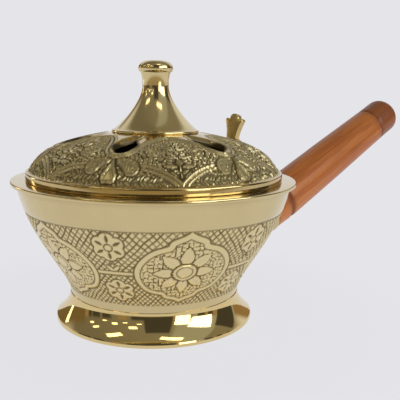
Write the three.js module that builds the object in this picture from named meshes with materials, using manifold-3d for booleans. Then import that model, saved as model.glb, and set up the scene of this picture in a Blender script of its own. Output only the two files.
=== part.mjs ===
// Brass censer with a hinged pierced lid and a turned wooden side handle.
// Millimetres, +Z up. The bowl stands on z = 0 and the handle points along +X.
import * as THREE from 'three';
import { mergeVertices } from 'three/addons/utils/BufferGeometryUtils.js';
import Module from 'manifold-3d';

const wasm = await Module();
wasm.setup();

// Clearances
const seatGap = 0.3; // between a shaped piece and the piece that it lies on
const runGap = 0.06; // between a shaft or rivet and its hole, on the radius
const faces = 48; // sides of the large turned pieces
const smallFaces = 24; // sides of pins, rivets and screws

// Foot
const footRadius = 34; // widest, at the lip
const footHeight = 9.6;
const footLip = 1.6; // height of the lip's upright edge
const footNeckStep = 0.2; // foot's neck outside the bowl's
const footUnderStep = 4; // slope of the hollow underside, inside the neck
const footRingWidth = 3.2; // flat that stands on the table
const footWeb = 2; // plate at the neck that the bowl is screwed to
const footRounding = 0.6; // where the ring turns up from the table

// Bowl
const bowlNeckRadius = 29;
const bowlHeight = 48.2; // table to the top of the rim
const rimRadius = 48;
const rimThickness = 1.3;
const rimOverhang = 1.8; // rim's edge outside the top of the wall
const wall = 2.2; // measured level, not square to the slope
const bowlFloor = 2.4;
const floorFillet = 2; // level and upright run of the slope in the floor's corner
const rimWidth = 6.6; // flat of the rim, from its edge in to the mouth
const mouthDepth = 3.4; // upright part of the mouth below the rim

// Lid, heights above the rim
const ringLap = 1.8; // ring outside the mouth, lying on the rim
const ringHeight = 2.8;
const ringStep = 0.9; // ring's edge outside the dome's foot
const domeRise = 12.6; // ring to the finial's seat
const domeSeatStep = 0.2; // flat seat outside the finial's base
const lidWall = 1.6;
const skirtClearance = 0.5; // skirt to mouth, on the radius
const skirtWall = 1.2;
const skirtDepth = 3;
const ventCount = 6;
const ventInner = 18.2; // point of the teardrop, from the lid's axis
const ventOuter = 31; // far side of its round end
const ventRound = 3.7; // radius of its round end
const ventTurn = 32.7; // degrees from the handle to the first vent

// Finial, heights above its seat
const finialBaseRadius = 14.8;
const finialBaseEdge = 1;
const finialHeight = 23.9;
const finialNeckRadius = 4.45;
const finialNeckHeight = 16.1;
const knobRadius = 5.85;
const knobHeight = 21.2; // height of the knob's widest line
const knobEdge = 1.2; // knob below its widest line
const knobLedge = 0.7; // knob outside the neck right under it
const studRadius = 2;
const finialBore = 11; // depth of the tapped hole
const washerRadius = 5.2;
const washerThickness = 0.9;
const nutRadius = 4; // across the corners, halved
const nutHeight = 3;
const studTail = 1; // thread that shows past a nut

// Foot screw
const screwRadius = 2;
const screwHeadRadius = 3.8;
const screwHeadHeight = 2.2;

// Handle, measured along its own axis from where that axis meets the bowl's wall
const handleRootHeight = 19.6;
const handleSlope = 24.4; // degrees above level
const bossStart = 1.5;
const bossLength = 13.5;
const bossRootRadius = 5.4;
const bossEndRadius = 7.2;
const ferruleStep = 0.2; // ferrule outside the boss and the wood that it meets
const ferruleRadius = 8.7; // at its mouth
const ferruleWall = 0.8;
const ferruleBack = 1.8;
const ferruleLength = 9;
const tenonGap = 0.3; // wood to the inside of the ferrule
const gripEndRise = 5.5; // height of the rounded end
const gripGrooveAt = 16; // this and the next two from the near end of the wood
const gripGrooveDepth = 1;
const gripGrooveWidth = 2.4;
const gripNearRadius = 9;
const gripFarRadius = 8.05;
const gripShoulderAt = 86;
const gripLength = 102.4;
const handleStudRadius = 3;
const handleStudInBoss = 9;
const handleStudInWood = 32;

// Bracket that holds the handle and the hinge
const saddleThickness = 2.4;
const saddleHalfWidth = 10.2;
const saddleLow = 12.4;
const saddleHigh = 34.5;
const saddleCorner = 5;
const webHalfWidth = 2.6;
const bracketRivetRadius = 1.3;
const bracketRivetHead = 2.3;
const bracketRivetInset = 3.1; // from the saddle's edges

// Hinge
const pinAcross = 2.6; // pin's axis outside the rim's edge
const pinAboveRim = 1.6;
const pinRadius = 1;
const pinHeadRadius = 1.7;
const pinHeadThickness = 0.8;
const knuckleRadius = 2.1;
const knuckleHalfWidth = 2.6;
const earRadius = 2.5;
const earThickness = 1.7;
const earSideGap = 0.25;

// Strap and thumb lift on the lid
const strapThickness = 1.5;
const strapHalfWidth = 5.4;
const strapReach = 6.7; // how far it goes in from the dome's foot
const strapAboveRim = 0.7;
const strapRivetRadius = 0.8;
const strapRivetHead = 1.4;
const strapRivetSpread = 3.8;
const strapRivetInset = 3; // in from the dome's foot
const liftThickness = 2.2;
const liftFootThickness = 1.2;
const liftFootHalfWidth = 2.1;
const liftRise = 9.6;
const liftLean = 11.5; // degrees outwards
const liftNeckWidth = 4.6;
const liftTopWidth = 8.4;
const liftInset = 5.3; // its upright, in from the dome's foot
const liftFootInset = 1.1; // its foot's lower end, in from the dome's foot

// Charcoal grate
const grateClearance = 1.3; // to the wall
const grateThickness = 1.4;
const grateLegHeight = 8;
const grateLegRadius = 2;
const grateLegCircle = 20;
const grateHoleRadius = 1.7;
const grateHoleRings = [[11, 6], [18, 10], [25, 14]]; // circle radius, holes on it

// Sizes that follow from the ones above
const footNeckRadius = bowlNeckRadius + footNeckStep;
const wallTopRadius = rimRadius - rimOverhang;
const mouthRadius = rimRadius - rimWidth; // opening that the lid's skirt drops into
const ringRadius = mouthRadius + ringLap;
const domeFootRadius = ringRadius - ringStep;
const domeSeatRadius = finialBaseRadius + domeSeatStep;
const ferruleBackRadius = bossEndRadius + ferruleStep;
const gripCollarRadius = ferruleRadius - ferruleStep;
const bracketRivetSpread = saddleHalfWidth - bracketRivetInset;
const bracketRivetHeights = [saddleLow + bracketRivetInset, saddleHigh - bracketRivetInset];
const strapTopRadius = domeFootRadius - strapReach; // distances from the lid's axis, as the next three are
const strapRivetAt = domeFootRadius - strapRivetInset;
const liftStandAt = domeFootRadius - liftInset;
const liftFootLow = domeFootRadius - liftFootInset;

const radians = THREE.MathUtils.degToRad;

// Finishes
const finishes = {
  castBrass: { color: 0xb9a468, roughness: 0.32, metalness: 1 },
  polishedBrass: { color: 0xd6bf7a, roughness: 0.1, metalness: 1 },
  goldenBrass: { color: 0xb98f3c, roughness: 0.25, metalness: 1 },
  steel: { color: 0xb5b7ba, roughness: 0.35, metalness: 1 },
  varnishedWood: { color: 0x9a5020, roughness: 0.3, metalness: 0 },
};
const material = (finish) => new THREE.MeshStandardMaterial(finishes[finish]);

// Solids
function solid(geometry) {
  const bare = geometry.clone();
  bare.deleteAttribute('normal');
  bare.deleteAttribute('uv');
  const merged = mergeVertices(bare);
  const index = merged.index.array;
  const triVerts = [];
  for (let i = 0; i < index.length; i += 3) {
    const [a, b, c] = [index[i], index[i + 1], index[i + 2]];
    if (a !== b && b !== c && c !== a) triVerts.push(a, b, c);
  }
  return new wasm.Manifold(new wasm.Mesh({
    numProp: 3,
    vertProperties: merged.getAttribute('position').array,
    triVerts: new Uint32Array(triVerts),
  }));
}

function geometryOf(body) {
  const mesh = body.getMesh();
  const geometry = new THREE.BufferGeometry();
  geometry.setAttribute('position', new THREE.BufferAttribute(new Float32Array(mesh.vertProperties), 3));
  geometry.setIndex(new THREE.BufferAttribute(new Uint32Array(mesh.triVerts), 1));
  const flat = geometry.toNonIndexed();
  flat.computeVertexNormals();
  return flat;
}

function piece(name, body, finish, parent, position = [0, 0, 0]) {
  const mesh = new THREE.Mesh(geometryOf(body), material(finish));
  mesh.name = name;
  mesh.position.set(...position);
  parent.add(mesh);
  return mesh;
}

const point = (radius, height) => new THREE.Vector2(radius, height);

// A profile of radius and height turned about Z, listed anticlockwise.
function turned(profile, sides = faces) {
  return solid(new THREE.LatheGeometry(profile, sides).rotateX(Math.PI / 2));
}

// The same about X, with heights read along +X.
function turnedAlongX(profile, sides) {
  return solid(new THREE.LatheGeometry(profile, sides).rotateX(Math.PI / 2).rotateY(Math.PI / 2));
}

function rod(radius, low, high, sides = smallFaces) {
  return turned([point(0, low), point(radius, low), point(radius, high), point(0, high)], sides);
}

// An outline in X and Z, given a width across the middle plane.
function sideCut(outline, halfWidth, curveSegments = 8) {
  const geometry = new THREE.ExtrudeGeometry(outline, {
    depth: 2 * halfWidth, bevelEnabled: false, curveSegments,
  });
  return solid(geometry.rotateX(Math.PI / 2).translate(0, halfWidth, 0));
}

// A round bar across the middle plane, at a place in X and Z.
function crossBar(radius, halfLength, x, z) {
  const geometry = new THREE.CylinderGeometry(radius, radius, 2 * halfLength, smallFaces);
  return solid(geometry.translate(x, 0, z));
}

function block(low, high) {
  const size = high.map((value, axis) => value - low[axis]);
  const middle = high.map((value, axis) => (value + low[axis]) / 2);
  return solid(new THREE.BoxGeometry(...size).translate(...middle));
}

const union = (bodies) => bodies.reduce((sum, body) => sum.add(body));
const cut = (body, tools) => tools.reduce((rest, tool) => rest.subtract(tool), body);

function curve(points, count) {
  return new THREE.CubicBezierCurve(...points.map(([x, y]) => point(x, y))).getPoints(count);
}

// A curve between two points whose two handles are shares of the way across and up.
function shaped(from, to, first, second, count) {
  const at = ([across, up]) => [from[0] + (to[0] - from[0]) * across, from[1] + (to[1] - from[1]) * up];
  return curve([from, at(first), at(second), to], count);
}

// The bowl's outer wall, from the neck to under the rim
const wallTop = bowlHeight - rimThickness;
const wallLine = shaped([bowlNeckRadius, footHeight], [wallTopRadius, wallTop], [0.03, 0.2], [0.79, 0.51], 8);

function alongLine(line, height) {
  const above = line.findIndex((p) => p.y >= height);
  const [a, b] = [line[above - 1], line[above]];
  return a.clone().lerp(b, (height - a.y) / (b.y - a.y));
}

const wallRadiusAt = (height) => alongLine(wallLine, height).x;

function bowlBody() {
  const floorTop = footHeight + bowlFloor;
  const mouthFoot = bowlHeight - mouthDepth;
  const inner = wallLine
    .filter((p) => p.y > floorTop + floorFillet + 0.5 && p.y < mouthFoot - wall)
    .map((p) => point(p.x - wall, p.y))
    .reverse();
  const cornerRadius = wallRadiusAt(floorTop + floorFillet) - wall;
  return turned([
    point(0, footHeight),
    ...wallLine,
    point(rimRadius - 0.3, wallTop),
    point(rimRadius, wallTop + 0.3),
    point(rimRadius, bowlHeight - 0.25),
    point(rimRadius - 0.25, bowlHeight),
    point(mouthRadius, bowlHeight),
    point(mouthRadius, mouthFoot),
    point(wallRadiusAt(mouthFoot - wall) - wall, mouthFoot - wall),
    ...inner,
    point(cornerRadius, floorTop + floorFillet),
    point(cornerRadius - floorFillet, floorTop),
    point(0, floorTop),
  ]);
}

// Everything within a level distance of the outside of the bowl
function bowlSpace(margin) {
  return turned([
    point(0, footHeight),
    ...wallLine.slice(0, -1).map((p) => point(p.x + margin, p.y)),
    point(wallTopRadius + margin, wallTop - seatGap),
    point(rimRadius + margin, wallTop - seatGap),
    point(rimRadius + margin, bowlHeight + seatGap),
    point(0, bowlHeight + seatGap),
  ]);
}

// Places a fastener's own Z axis square to a turned wall, at a distance from the middle plane
function squareTo(line, height, side) {
  const at = alongLine(line, height);
  const low = alongLine(line, height - 0.8);
  const high = alongLine(line, height + 0.8);
  const turn = Math.asin(side / at.x);
  const slope = Math.atan2(high.x - low.x, high.y - low.y);
  const outward = new THREE.Vector3(Math.cos(slope), 0, -Math.sin(slope));
  const place = new THREE.Matrix4().makeRotationZ(turn);
  place.multiply(new THREE.Matrix4().makeTranslation(at.x, 0, at.y));
  const square = new THREE.Quaternion().setFromUnitVectors(new THREE.Vector3(0, 0, 1), outward);
  return { place: place.multiply(new THREE.Matrix4().makeRotationFromQuaternion(square)), slope };
}

const moved = (body, matrix) => body.transform(matrix.toArray());

// A rivet with a low domed head outside and inside
function rivet(radius, headRadius, inside, outside) {
  const head = headRadius * 0.45;
  return turned([
    point(0, inside - head),
    point(headRadius * 0.7, inside - head * 0.75),
    point(headRadius, inside),
    point(radius, inside),
    point(radius, outside),
    point(headRadius, outside),
    point(headRadius * 0.7, outside + head * 0.75),
    point(0, outside + head),
  ], 12);
}

// Places of hinge and handle
const pinX = rimRadius + pinAcross;
const pinZ = bowlHeight + pinAboveRim;
const handleRootX = wallRadiusAt(handleRootHeight);
const handleTurn = new THREE.Matrix4()
  .makeTranslation(handleRootX, 0, handleRootHeight)
  .multiply(new THREE.Matrix4().makeRotationY(-radians(handleSlope)));
const bossEnd = bossStart + bossLength;
const ferruleStart = bossEnd + seatGap;
const woodStart = ferruleStart + ferruleBack + seatGap;

// Foot: a turned ring whose web closes the neck
function footBody() {
  const under = footHeight - footWeb;
  return cut(turned([
    point(0, under),
    point(footNeckRadius - footUnderStep, under),
    point(footRadius - footRingWidth - footRounding, 1),
    point(footRadius - footRingWidth - footRounding, 0),
    point(footRadius - footRounding, 0),
    point(footRadius - 0.1, 0.5),
    point(footRadius, footLip * 0.5),
    ...shaped([footRadius, footLip], [footNeckRadius, footHeight], [0.42, 0.2], [0.98, 0.6], 7),
    point(0, footHeight),
  ]), [rod(screwRadius + runGap, 0, footHeight + 1)]);
}

// Bracket: a saddle on the wall, a boss for the handle and two ears for the lid's hinge
function bracketRivets() {
  const outside = seatGap + saddleThickness;
  return bracketRivetHeights.flatMap((height) => [-1, 1].map((side) => {
    const { place, slope } = squareTo(wallLine, height, side * bracketRivetSpread);
    const square = Math.cos(slope);
    return {
      body: moved(rivet(
        bracketRivetRadius, bracketRivetHead, -wall * square - seatGap, outside * square + seatGap,
      ), place),
      hole: moved(rod(bracketRivetRadius + runGap, -wall - 2, outside + 3, 12), place),
    };
  }));
}

function saddleOutline() {
  const [w, low, high, corner] = [saddleHalfWidth, saddleLow, saddleHigh, saddleCorner];
  const outline = new THREE.Shape();
  outline.moveTo(-w + corner, low).lineTo(w - corner, low);
  outline.quadraticCurveTo(w, low, w, low + corner).lineTo(w, high - corner);
  outline.quadraticCurveTo(w, high, w - corner, high).lineTo(-w + corner, high);
  outline.quadraticCurveTo(-w, high, -w, high - corner).lineTo(-w, low + corner);
  outline.quadraticCurveTo(-w, low, -w + corner, low);
  return outline;
}

function bracketBody() {
  // Saddle: the outline pushed along +X, kept between two offsets of the wall
  const reach = wallTopRadius + saddleThickness;
  const slab = new THREE.ExtrudeGeometry(saddleOutline(), {
    depth: reach, bevelEnabled: false, curveSegments: 4,
  });
  // The extrusion's X, Y and Z become Y, Z and X
  slab.applyMatrix4(new THREE.Matrix4().set(0, 0, 1, 0, 1, 0, 0, 0, 0, 1, 0, 0, 0, 0, 0, 1));
  const saddle = solid(slab).intersect(bowlSpace(seatGap + saddleThickness));
  const boss = moved(turnedAlongX([
    point(0, -3),
    point(bossRootRadius, -3),
    point(bossRootRadius, bossStart),
    point(bossEndRadius, bossEnd - 2.5),
    point(bossEndRadius, bossEnd - 0.6),
    point(bossEndRadius - 0.6, bossEnd),
    point(0, bossEnd),
  ], 32), handleTurn);
  const earOuter = pinX + earRadius;
  const web = new THREE.Shape();
  const webFoot = saddleHigh - 2.5;
  const webFootX = wallRadiusAt(webFoot) + seatGap + saddleThickness;
  web.moveTo(webFootX - saddleThickness, webFoot - 1.5).lineTo(webFootX - 0.2, webFoot);
  web.quadraticCurveTo(webFootX + 2.4, wallTop - 8.9, earOuter - 1.2, wallTop - 5);
  web.lineTo(earOuter - 1.2, wallTop - 1);
  web.lineTo(wallTopRadius - 4, wallTop - 1);
  const earBlock = new THREE.Shape();
  earBlock.moveTo(wallTopRadius - 2, wallTop - 4.4);
  earBlock.quadraticCurveTo(earOuter - 1, wallTop - 5.4, earOuter, wallTop - 2.6);
  earBlock.lineTo(earOuter, pinZ);
  earBlock.absarc(pinX, pinZ, earRadius, 0, Math.PI, false);
  earBlock.lineTo(pinX - earRadius, wallTop - 1);
  earBlock.lineTo(wallTopRadius - 2, wallTop - 1);
  const earIn = knuckleHalfWidth + earSideGap;
  const slotFoot = pinZ - knuckleRadius - 2 * seatGap;
  const body = union([
    saddle, boss, sideCut(web, webHalfWidth), sideCut(earBlock, earIn + earThickness),
  ]);
  return cut(body, [
    bowlSpace(seatGap),
    block([wallTopRadius, -earIn, slotFoot], [earOuter + 1, earIn, pinZ + earRadius + 1]),
    crossBar(pinRadius + runGap, earIn + earThickness + 1, pinX, pinZ),
    moved(rodAlongX(handleStudRadius + runGap, bossEnd - handleStudInBoss, bossEnd + 1), handleTurn),
    moved(rodAlongX(ferruleRadius + seatGap, bossEnd + seatGap / 2, ferruleStart + ferruleLength + 1), handleTurn),
    ...bracketRivets().map((r) => r.hole),
  ]);
}

function rodAlongX(radius, low, high) {
  return turnedAlongX([point(0, low), point(radius, low), point(radius, high), point(0, high)], smallFaces);
}

function hingePin() {
  const shank = knuckleHalfWidth + earSideGap + earThickness + 0.1;
  const heads = [-1, 1].map((side) => solid(
    new THREE.CylinderGeometry(pinHeadRadius, pinHeadRadius, pinHeadThickness, smallFaces)
      .translate(pinX, side * (shank + pinHeadThickness / 2), pinZ),
  ));
  return union([crossBar(pinRadius, shank + pinHeadThickness / 2, pinX, pinZ), ...heads]);
}

// Handle pieces, along +X from where the axis meets the wall
function ferruleBody() {
  const mouth = ferruleStart + ferruleLength;
  return cut(turnedAlongX([
    point(0, ferruleStart),
    point(ferruleBackRadius - 0.6, ferruleStart),
    point(ferruleBackRadius, ferruleStart + 0.6),
    point(ferruleRadius - 0.3, mouth - 1.6),
    point(ferruleRadius, mouth - 1.2),
    point(ferruleRadius, mouth),
    point(ferruleRadius - ferruleWall, mouth),
    point(ferruleBackRadius - ferruleWall, ferruleStart + ferruleBack),
    point(0, ferruleStart + ferruleBack),
  ], 36), [rodAlongX(handleStudRadius + runGap, ferruleStart - 1, ferruleStart + ferruleBack + 1)]);
}

function gripBody() {
  const tenonRadius = ferruleRadius - ferruleWall - tenonGap;
  const collar = ferruleStart + ferruleLength + seatGap;
  const groove = woodStart + gripGrooveAt;
  const shoulder = woodStart + gripShoulderAt;
  const tip = woodStart + gripLength;
  const depth = gripNearRadius - gripGrooveDepth;
  const cap = gripFarRadius - 0.1;
  return cut(turnedAlongX([
    point(0, woodStart),
    point(ferruleBackRadius - ferruleWall - 0.2, woodStart),
    point(tenonRadius, collar - 0.3),
    point(tenonRadius, collar),
    point(gripCollarRadius, collar + 0.3),
    point(gripNearRadius - 0.3, groove - gripGrooveWidth),
    point(gripNearRadius - 0.1, groove - gripGrooveWidth / 2),
    point(depth, groove),
    point(gripNearRadius - 0.1, groove + gripGrooveWidth / 2),
    point(gripNearRadius, groove + gripGrooveWidth),
    point((gripNearRadius + gripFarRadius) / 2 + 0.15, (groove + shoulder) / 2),
    point(gripFarRadius, shoulder - 0.7),
    point(gripFarRadius - 0.6, shoulder),
    point(cap, shoulder + 1.2),
    point(cap, tip - 9),
    ...new THREE.EllipseCurve(0, 0, cap, gripEndRise, 0, Math.PI / 2).getPoints(6)
      .map((p) => point(p.x < 0.01 ? 0 : p.x, tip - gripEndRise + p.y)),
  ], 28), [rodAlongX(handleStudRadius + runGap, woodStart - 1, woodStart + handleStudInWood + 1)]);
}

// Lid, in heights above the rim
const seatZ = ringHeight + domeRise;
const domeLine = shaped(
  [domeFootRadius, ringHeight], [domeSeatRadius, seatZ], [0.16, 0.4], [0.12, 0.68], 9,
);

function offsetLine(line, distance) {
  return line.map((p, i) => {
    const before = line[Math.max(i - 1, 0)];
    const after = line[Math.min(i + 1, line.length - 1)];
    const along = after.clone().sub(before).normalize();
    return point(p.x + along.y * distance, p.y - along.x * distance);
  });
}

function ventBody() {
  const roundAt = ventOuter - ventRound;
  const outline = new THREE.Shape();
  outline.moveTo(ventInner, 0);
  outline.bezierCurveTo(ventInner + 3, 1.2, roundAt - 3.6, ventRound, roundAt, ventRound);
  outline.absarc(roundAt, 0, ventRound, Math.PI / 2, -Math.PI / 2, true);
  outline.bezierCurveTo(roundAt - 3.6, -ventRound, ventInner + 3, -1.2, ventInner, 0);
  const geometry = new THREE.ExtrudeGeometry(outline, {
    depth: domeRise + 4, bevelEnabled: false, curveSegments: 5,
  });
  return solid(geometry.translate(0, 0, ringHeight));
}

function lidBody() {
  const inner = offsetLine(domeLine, -lidWall).reverse();
  const skirtOuter = mouthRadius - skirtClearance;
  const skirtInner = skirtOuter - skirtWall;
  const profile = [
    point(skirtInner, -skirtDepth),
    point(skirtOuter, -skirtDepth),
    point(skirtOuter, 0),
    point(ringRadius - 0.3, 0),
    point(ringRadius, 0.4),
    point(ringRadius, ringHeight - 0.7),
    point(ringRadius - 0.3, ringHeight),
    ...domeLine,
    point(0, seatZ),
    point(0, seatZ - lidWall),
    point(domeSeatRadius - 1, seatZ - lidWall),
    ...inner.slice(1).filter((p) => p.x < skirtInner - 0.1),
    point(skirtInner, ringHeight),
    point(skirtInner, -skirtDepth),
  ];
  const vents = Array.from({ length: ventCount }, (_, i) => ventBody()
    .rotate(0, 0, ventTurn + i * 360 / ventCount));
  return cut(turned(profile), [
    rod(studRadius + runGap, seatZ - lidWall - 1, seatZ + 1),
    ...vents,
    ...lidRivets().map((r) => r.hole),
  ]);
}

function finialBody() {
  const profile = [
    point(0, 0),
    point(finialBaseRadius, 0),
    point(finialBaseRadius, finialBaseEdge * 0.6),
    ...shaped(
      [finialBaseRadius - 0.3, finialBaseEdge], [finialNeckRadius, finialNeckHeight],
      [0.1, 0], [1.06, 0.62], 9,
    ),
    ...shaped([finialNeckRadius, finialNeckHeight], [knobRadius - knobLedge, knobHeight - knobEdge],
      [0, 0.4], [0.55, 0.85], 4).slice(1),
    point(knobRadius - knobLedge / 2, knobHeight - knobEdge + 0.1),
    ...new THREE.EllipseCurve(0, 0, knobRadius, finialHeight - knobHeight, 0, Math.PI / 2).getPoints(5)
      .map((p) => point(p.x < 0.01 ? 0 : p.x, knobHeight + p.y)),
  ];
  return cut(turned(profile, 28), [rod(studRadius + runGap, -1, finialBore)]);
}

// A hexagon nut about Z, with its bore
function nut(low) {
  const hex = solid(new THREE.CylinderGeometry(nutRadius, nutRadius, nutHeight, 6)
    .rotateX(Math.PI / 2).translate(0, 0, low + nutHeight / 2));
  return cut(hex, [rod(studRadius + runGap, low - 1, low + nutHeight + 1)]);
}

const washer = (low) => cut(
  rod(washerRadius, low, low + washerThickness, 32),
  [rod(studRadius + runGap, low - 1, low + washerThickness + 1)],
);

// Height on the dome's line at a distance from its axis
const domeHeightAt = (radius) => {
  const past = domeLine.findIndex((p) => p.x <= radius);
  const [a, b] = [domeLine[past - 1], domeLine[past]];
  return THREE.MathUtils.lerp(a.y, b.y, (radius - a.x) / (b.x - a.x));
};

const footStack = seatGap + strapThickness + seatGap + liftFootThickness;

function lidRivets() {
  const height = domeHeightAt(strapRivetAt);
  return [['strap_rivet_1', -1], ['lift_rivet', 0], ['strap_rivet_2', 1]].map(([name, side]) => {
    const { place } = squareTo(domeLine, height, side * strapRivetSpread);
    const outside = side === 0 ? footStack : seatGap + strapThickness;
    return {
      name,
      body: moved(rivet(strapRivetRadius, strapRivetHead, -lidWall - seatGap, outside + seatGap), place),
      hole: moved(rod(strapRivetRadius + runGap, -lidWall - 2, footStack + 3, 12), place),
    };
  });
}

// The stretch of the dome's line between two distances from the axis, lifted off it
function lifted(fromRadius, toRadius, distance, count = 7) {
  const line = Array.from({ length: count }, (_, i) => {
    const radius = THREE.MathUtils.lerp(fromRadius, toRadius, i / (count - 1));
    return point(radius, domeHeightAt(radius));
  });
  return offsetLine(line, -distance);
}

function strapBody() {
  const pin = point(pinX, pinAboveRim);
  const ringOut = ringRadius + seatGap;
  const under = lifted(strapTopRadius, domeFootRadius - 0.4, seatGap);
  const over = lifted(strapTopRadius, domeFootRadius - 0.4, seatGap + strapThickness);
  const outline = new THREE.Shape([
    ...under,
    point(ringOut, ringHeight + seatGap),
    point(ringOut, strapAboveRim + 0.6),
    point(ringOut + 0.6, strapAboveRim),
    point(pin.x - 1.5, strapAboveRim),
    point(pin.x, pin.y - 0.5),
    point(pin.x, pin.y + knuckleRadius * 0.95),
    point(ringOut + strapThickness, pin.y + knuckleRadius * 0.95),
    ...over.reverse(),
  ]);
  const wideEnd = pin.x - earRadius - 0.9;
  const top = seatZ + 5;
  const plan = block([0, -strapHalfWidth, 0], [wideEnd, strapHalfWidth, top])
    .add(block([0, -knuckleHalfWidth, 0], [pin.x, knuckleHalfWidth, top]));
  const arm = sideCut(outline, strapHalfWidth).intersect(plan);
  const knuckle = crossBar(knuckleRadius, knuckleHalfWidth, pin.x, pin.y);
  return cut(arm.add(knuckle), [
    crossBar(pinRadius + runGap, knuckleHalfWidth + 1, pin.x, pin.y),
    ...lidRivets().map((r) => r.hole),
  ]);
}

// Thumb lift: a foot on the strap and a three-lobed leaf that stands on it
function liftBody() {
  const low = seatGap + strapThickness + seatGap;
  const foot = sideCut(new THREE.Shape([
    ...lifted(liftStandAt - liftThickness / 2, liftFootLow, low),
    ...lifted(liftStandAt - liftThickness / 2, liftFootLow, low + liftFootThickness).reverse(),
  ]), liftFootHalfWidth);
  const [neck, half, rise] = [liftNeckWidth / 2, liftTopWidth / 2, liftRise];
  const leaf = new THREE.Shape();
  leaf.moveTo(-neck, 0).lineTo(neck, 0);
  leaf.quadraticCurveTo(neck + 0.2, rise * 0.4, half, rise * 0.72);
  leaf.quadraticCurveTo(half * 0.95, rise * 0.88, half * 0.5, rise * 0.78);
  leaf.quadraticCurveTo(half * 0.45, rise, 0, rise);
  leaf.quadraticCurveTo(-half * 0.45, rise, -half * 0.5, rise * 0.78);
  leaf.quadraticCurveTo(-half * 0.95, rise * 0.88, -half, rise * 0.72);
  leaf.quadraticCurveTo(-neck - 0.2, rise * 0.4, -neck, 0);
  const plate = new THREE.ExtrudeGeometry(leaf, {
    depth: liftThickness, bevelEnabled: false, curveSegments: 6,
  });
  // Stand the leaf up, across the middle plane, and lean it outwards
  plate.translate(0, 0, -liftThickness / 2).rotateX(Math.PI / 2).rotateZ(Math.PI / 2);
  plate.rotateY(radians(liftLean));
  const stand = domeHeightAt(liftStandAt) + low + liftFootThickness * 0.6;
  plate.translate(liftStandAt, 0, stand);
  return cut(union([foot, solid(plate)]), lidRivets().map((r) => r.hole));
}

function grateBody() {
  const low = footHeight + bowlFloor;
  const plateLow = low + grateLegHeight;
  const legs = [0, 1, 2].map((i) => {
    const angle = radians(60 + i * 120);
    return rod(grateLegRadius, low, plateLow + grateThickness / 2, 12)
      .translate(grateLegCircle * Math.cos(angle), grateLegCircle * Math.sin(angle), 0);
  });
  const holes = grateHoleRings.flatMap(([circle, count]) => Array.from({ length: count }, (_, i) => {
    const angle = 2 * Math.PI * (i + 0.5) / count;
    return rod(grateHoleRadius, plateLow - 1, plateLow + grateThickness + 1, 6)
      .translate(circle * Math.cos(angle), circle * Math.sin(angle), 0);
  }));
  const plateRadius = wallRadiusAt(plateLow) - wall - grateClearance;
  const plate = cut(rod(plateRadius, plateLow, plateLow + grateThickness, 40), holes);
  return union([plate, ...legs]);
}

// Assembly
const censer = new THREE.Group();
const floorTop = footHeight + bowlFloor;
const footUnder = footHeight - footWeb;

piece('foot', footBody(), 'polishedBrass', censer);
piece('bowl', cut(bowlBody(), [
  rod(screwRadius + runGap, footHeight - 1, floorTop + 1),
  ...bracketRivets().map((r) => r.hole),
]), 'castBrass', censer);
const footNutLow = footUnder - washerThickness - nutHeight;
piece('foot_screw', union([
  rod(screwRadius, footNutLow - studTail, floorTop + 0.5),
  rod(screwHeadRadius, floorTop, floorTop + screwHeadHeight),
]), 'goldenBrass', censer);
piece('foot_washer', washer(footUnder - washerThickness), 'goldenBrass', censer);
piece('foot_nut', nut(footNutLow), 'goldenBrass', censer);
piece('handle_bracket', bracketBody(), 'castBrass', censer);
bracketRivets().forEach((r, i) => piece(`bracket_rivet_${i + 1}`, r.body, 'goldenBrass', censer));
piece('hinge_pin', hingePin(), 'goldenBrass', censer);
piece('charcoal_grate', grateBody(), 'castBrass', censer);

const handle = new THREE.Group();
handle.applyMatrix4(handleTurn);
censer.add(handle);
piece('handle_stud', rodAlongX(
  handleStudRadius, bossEnd - handleStudInBoss + seatGap, woodStart + handleStudInWood,
), 'steel', handle);
piece('handle_ferrule', ferruleBody(), 'polishedBrass', handle);
piece('handle_grip', gripBody(), 'varnishedWood', handle);

const lid = new THREE.Group();
lid.position.z = bowlHeight;
censer.add(lid);
const domeUnder = seatZ - lidWall;
const finialNutLow = domeUnder - washerThickness - nutHeight;
piece('lid_dome', lidBody(), 'castBrass', lid);
piece('finial', finialBody(), 'polishedBrass', lid, [0, 0, seatZ]);
piece('finial_stud', rod(studRadius, finialNutLow - studTail, seatZ + finialBore - seatGap), 'steel', lid);
piece('finial_washer', washer(domeUnder - washerThickness), 'goldenBrass', lid);
piece('finial_nut', nut(finialNutLow), 'goldenBrass', lid);
piece('lid_strap', strapBody(), 'castBrass', lid);
piece('thumb_lift', liftBody(), 'goldenBrass', lid);
lidRivets().forEach((r) => piece(r.name, r.body, 'goldenBrass', lid));

// The origin is the middle of the whole footprint, on the table
censer.updateMatrixWorld(true);
const bounds = new THREE.Box3().setFromObject(censer, true);
censer.position.x = -(bounds.min.x + bounds.max.x) / 2;

export default censer;
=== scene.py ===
"""Looks of a brass censer with a pierced lid and a wooden handle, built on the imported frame.

Sizes are in millimetres and degrees until a mesh is put in place. Turned pieces are made about
their own axis, carved there, and then moved to where the frame holds them.
"""

import logging
import math
from dataclasses import dataclass
from enum import Enum
from typing import Callable, ClassVar, Sequence

import bmesh
import bpy
import numpy as np
from mathutils import Matrix, Vector

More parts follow.
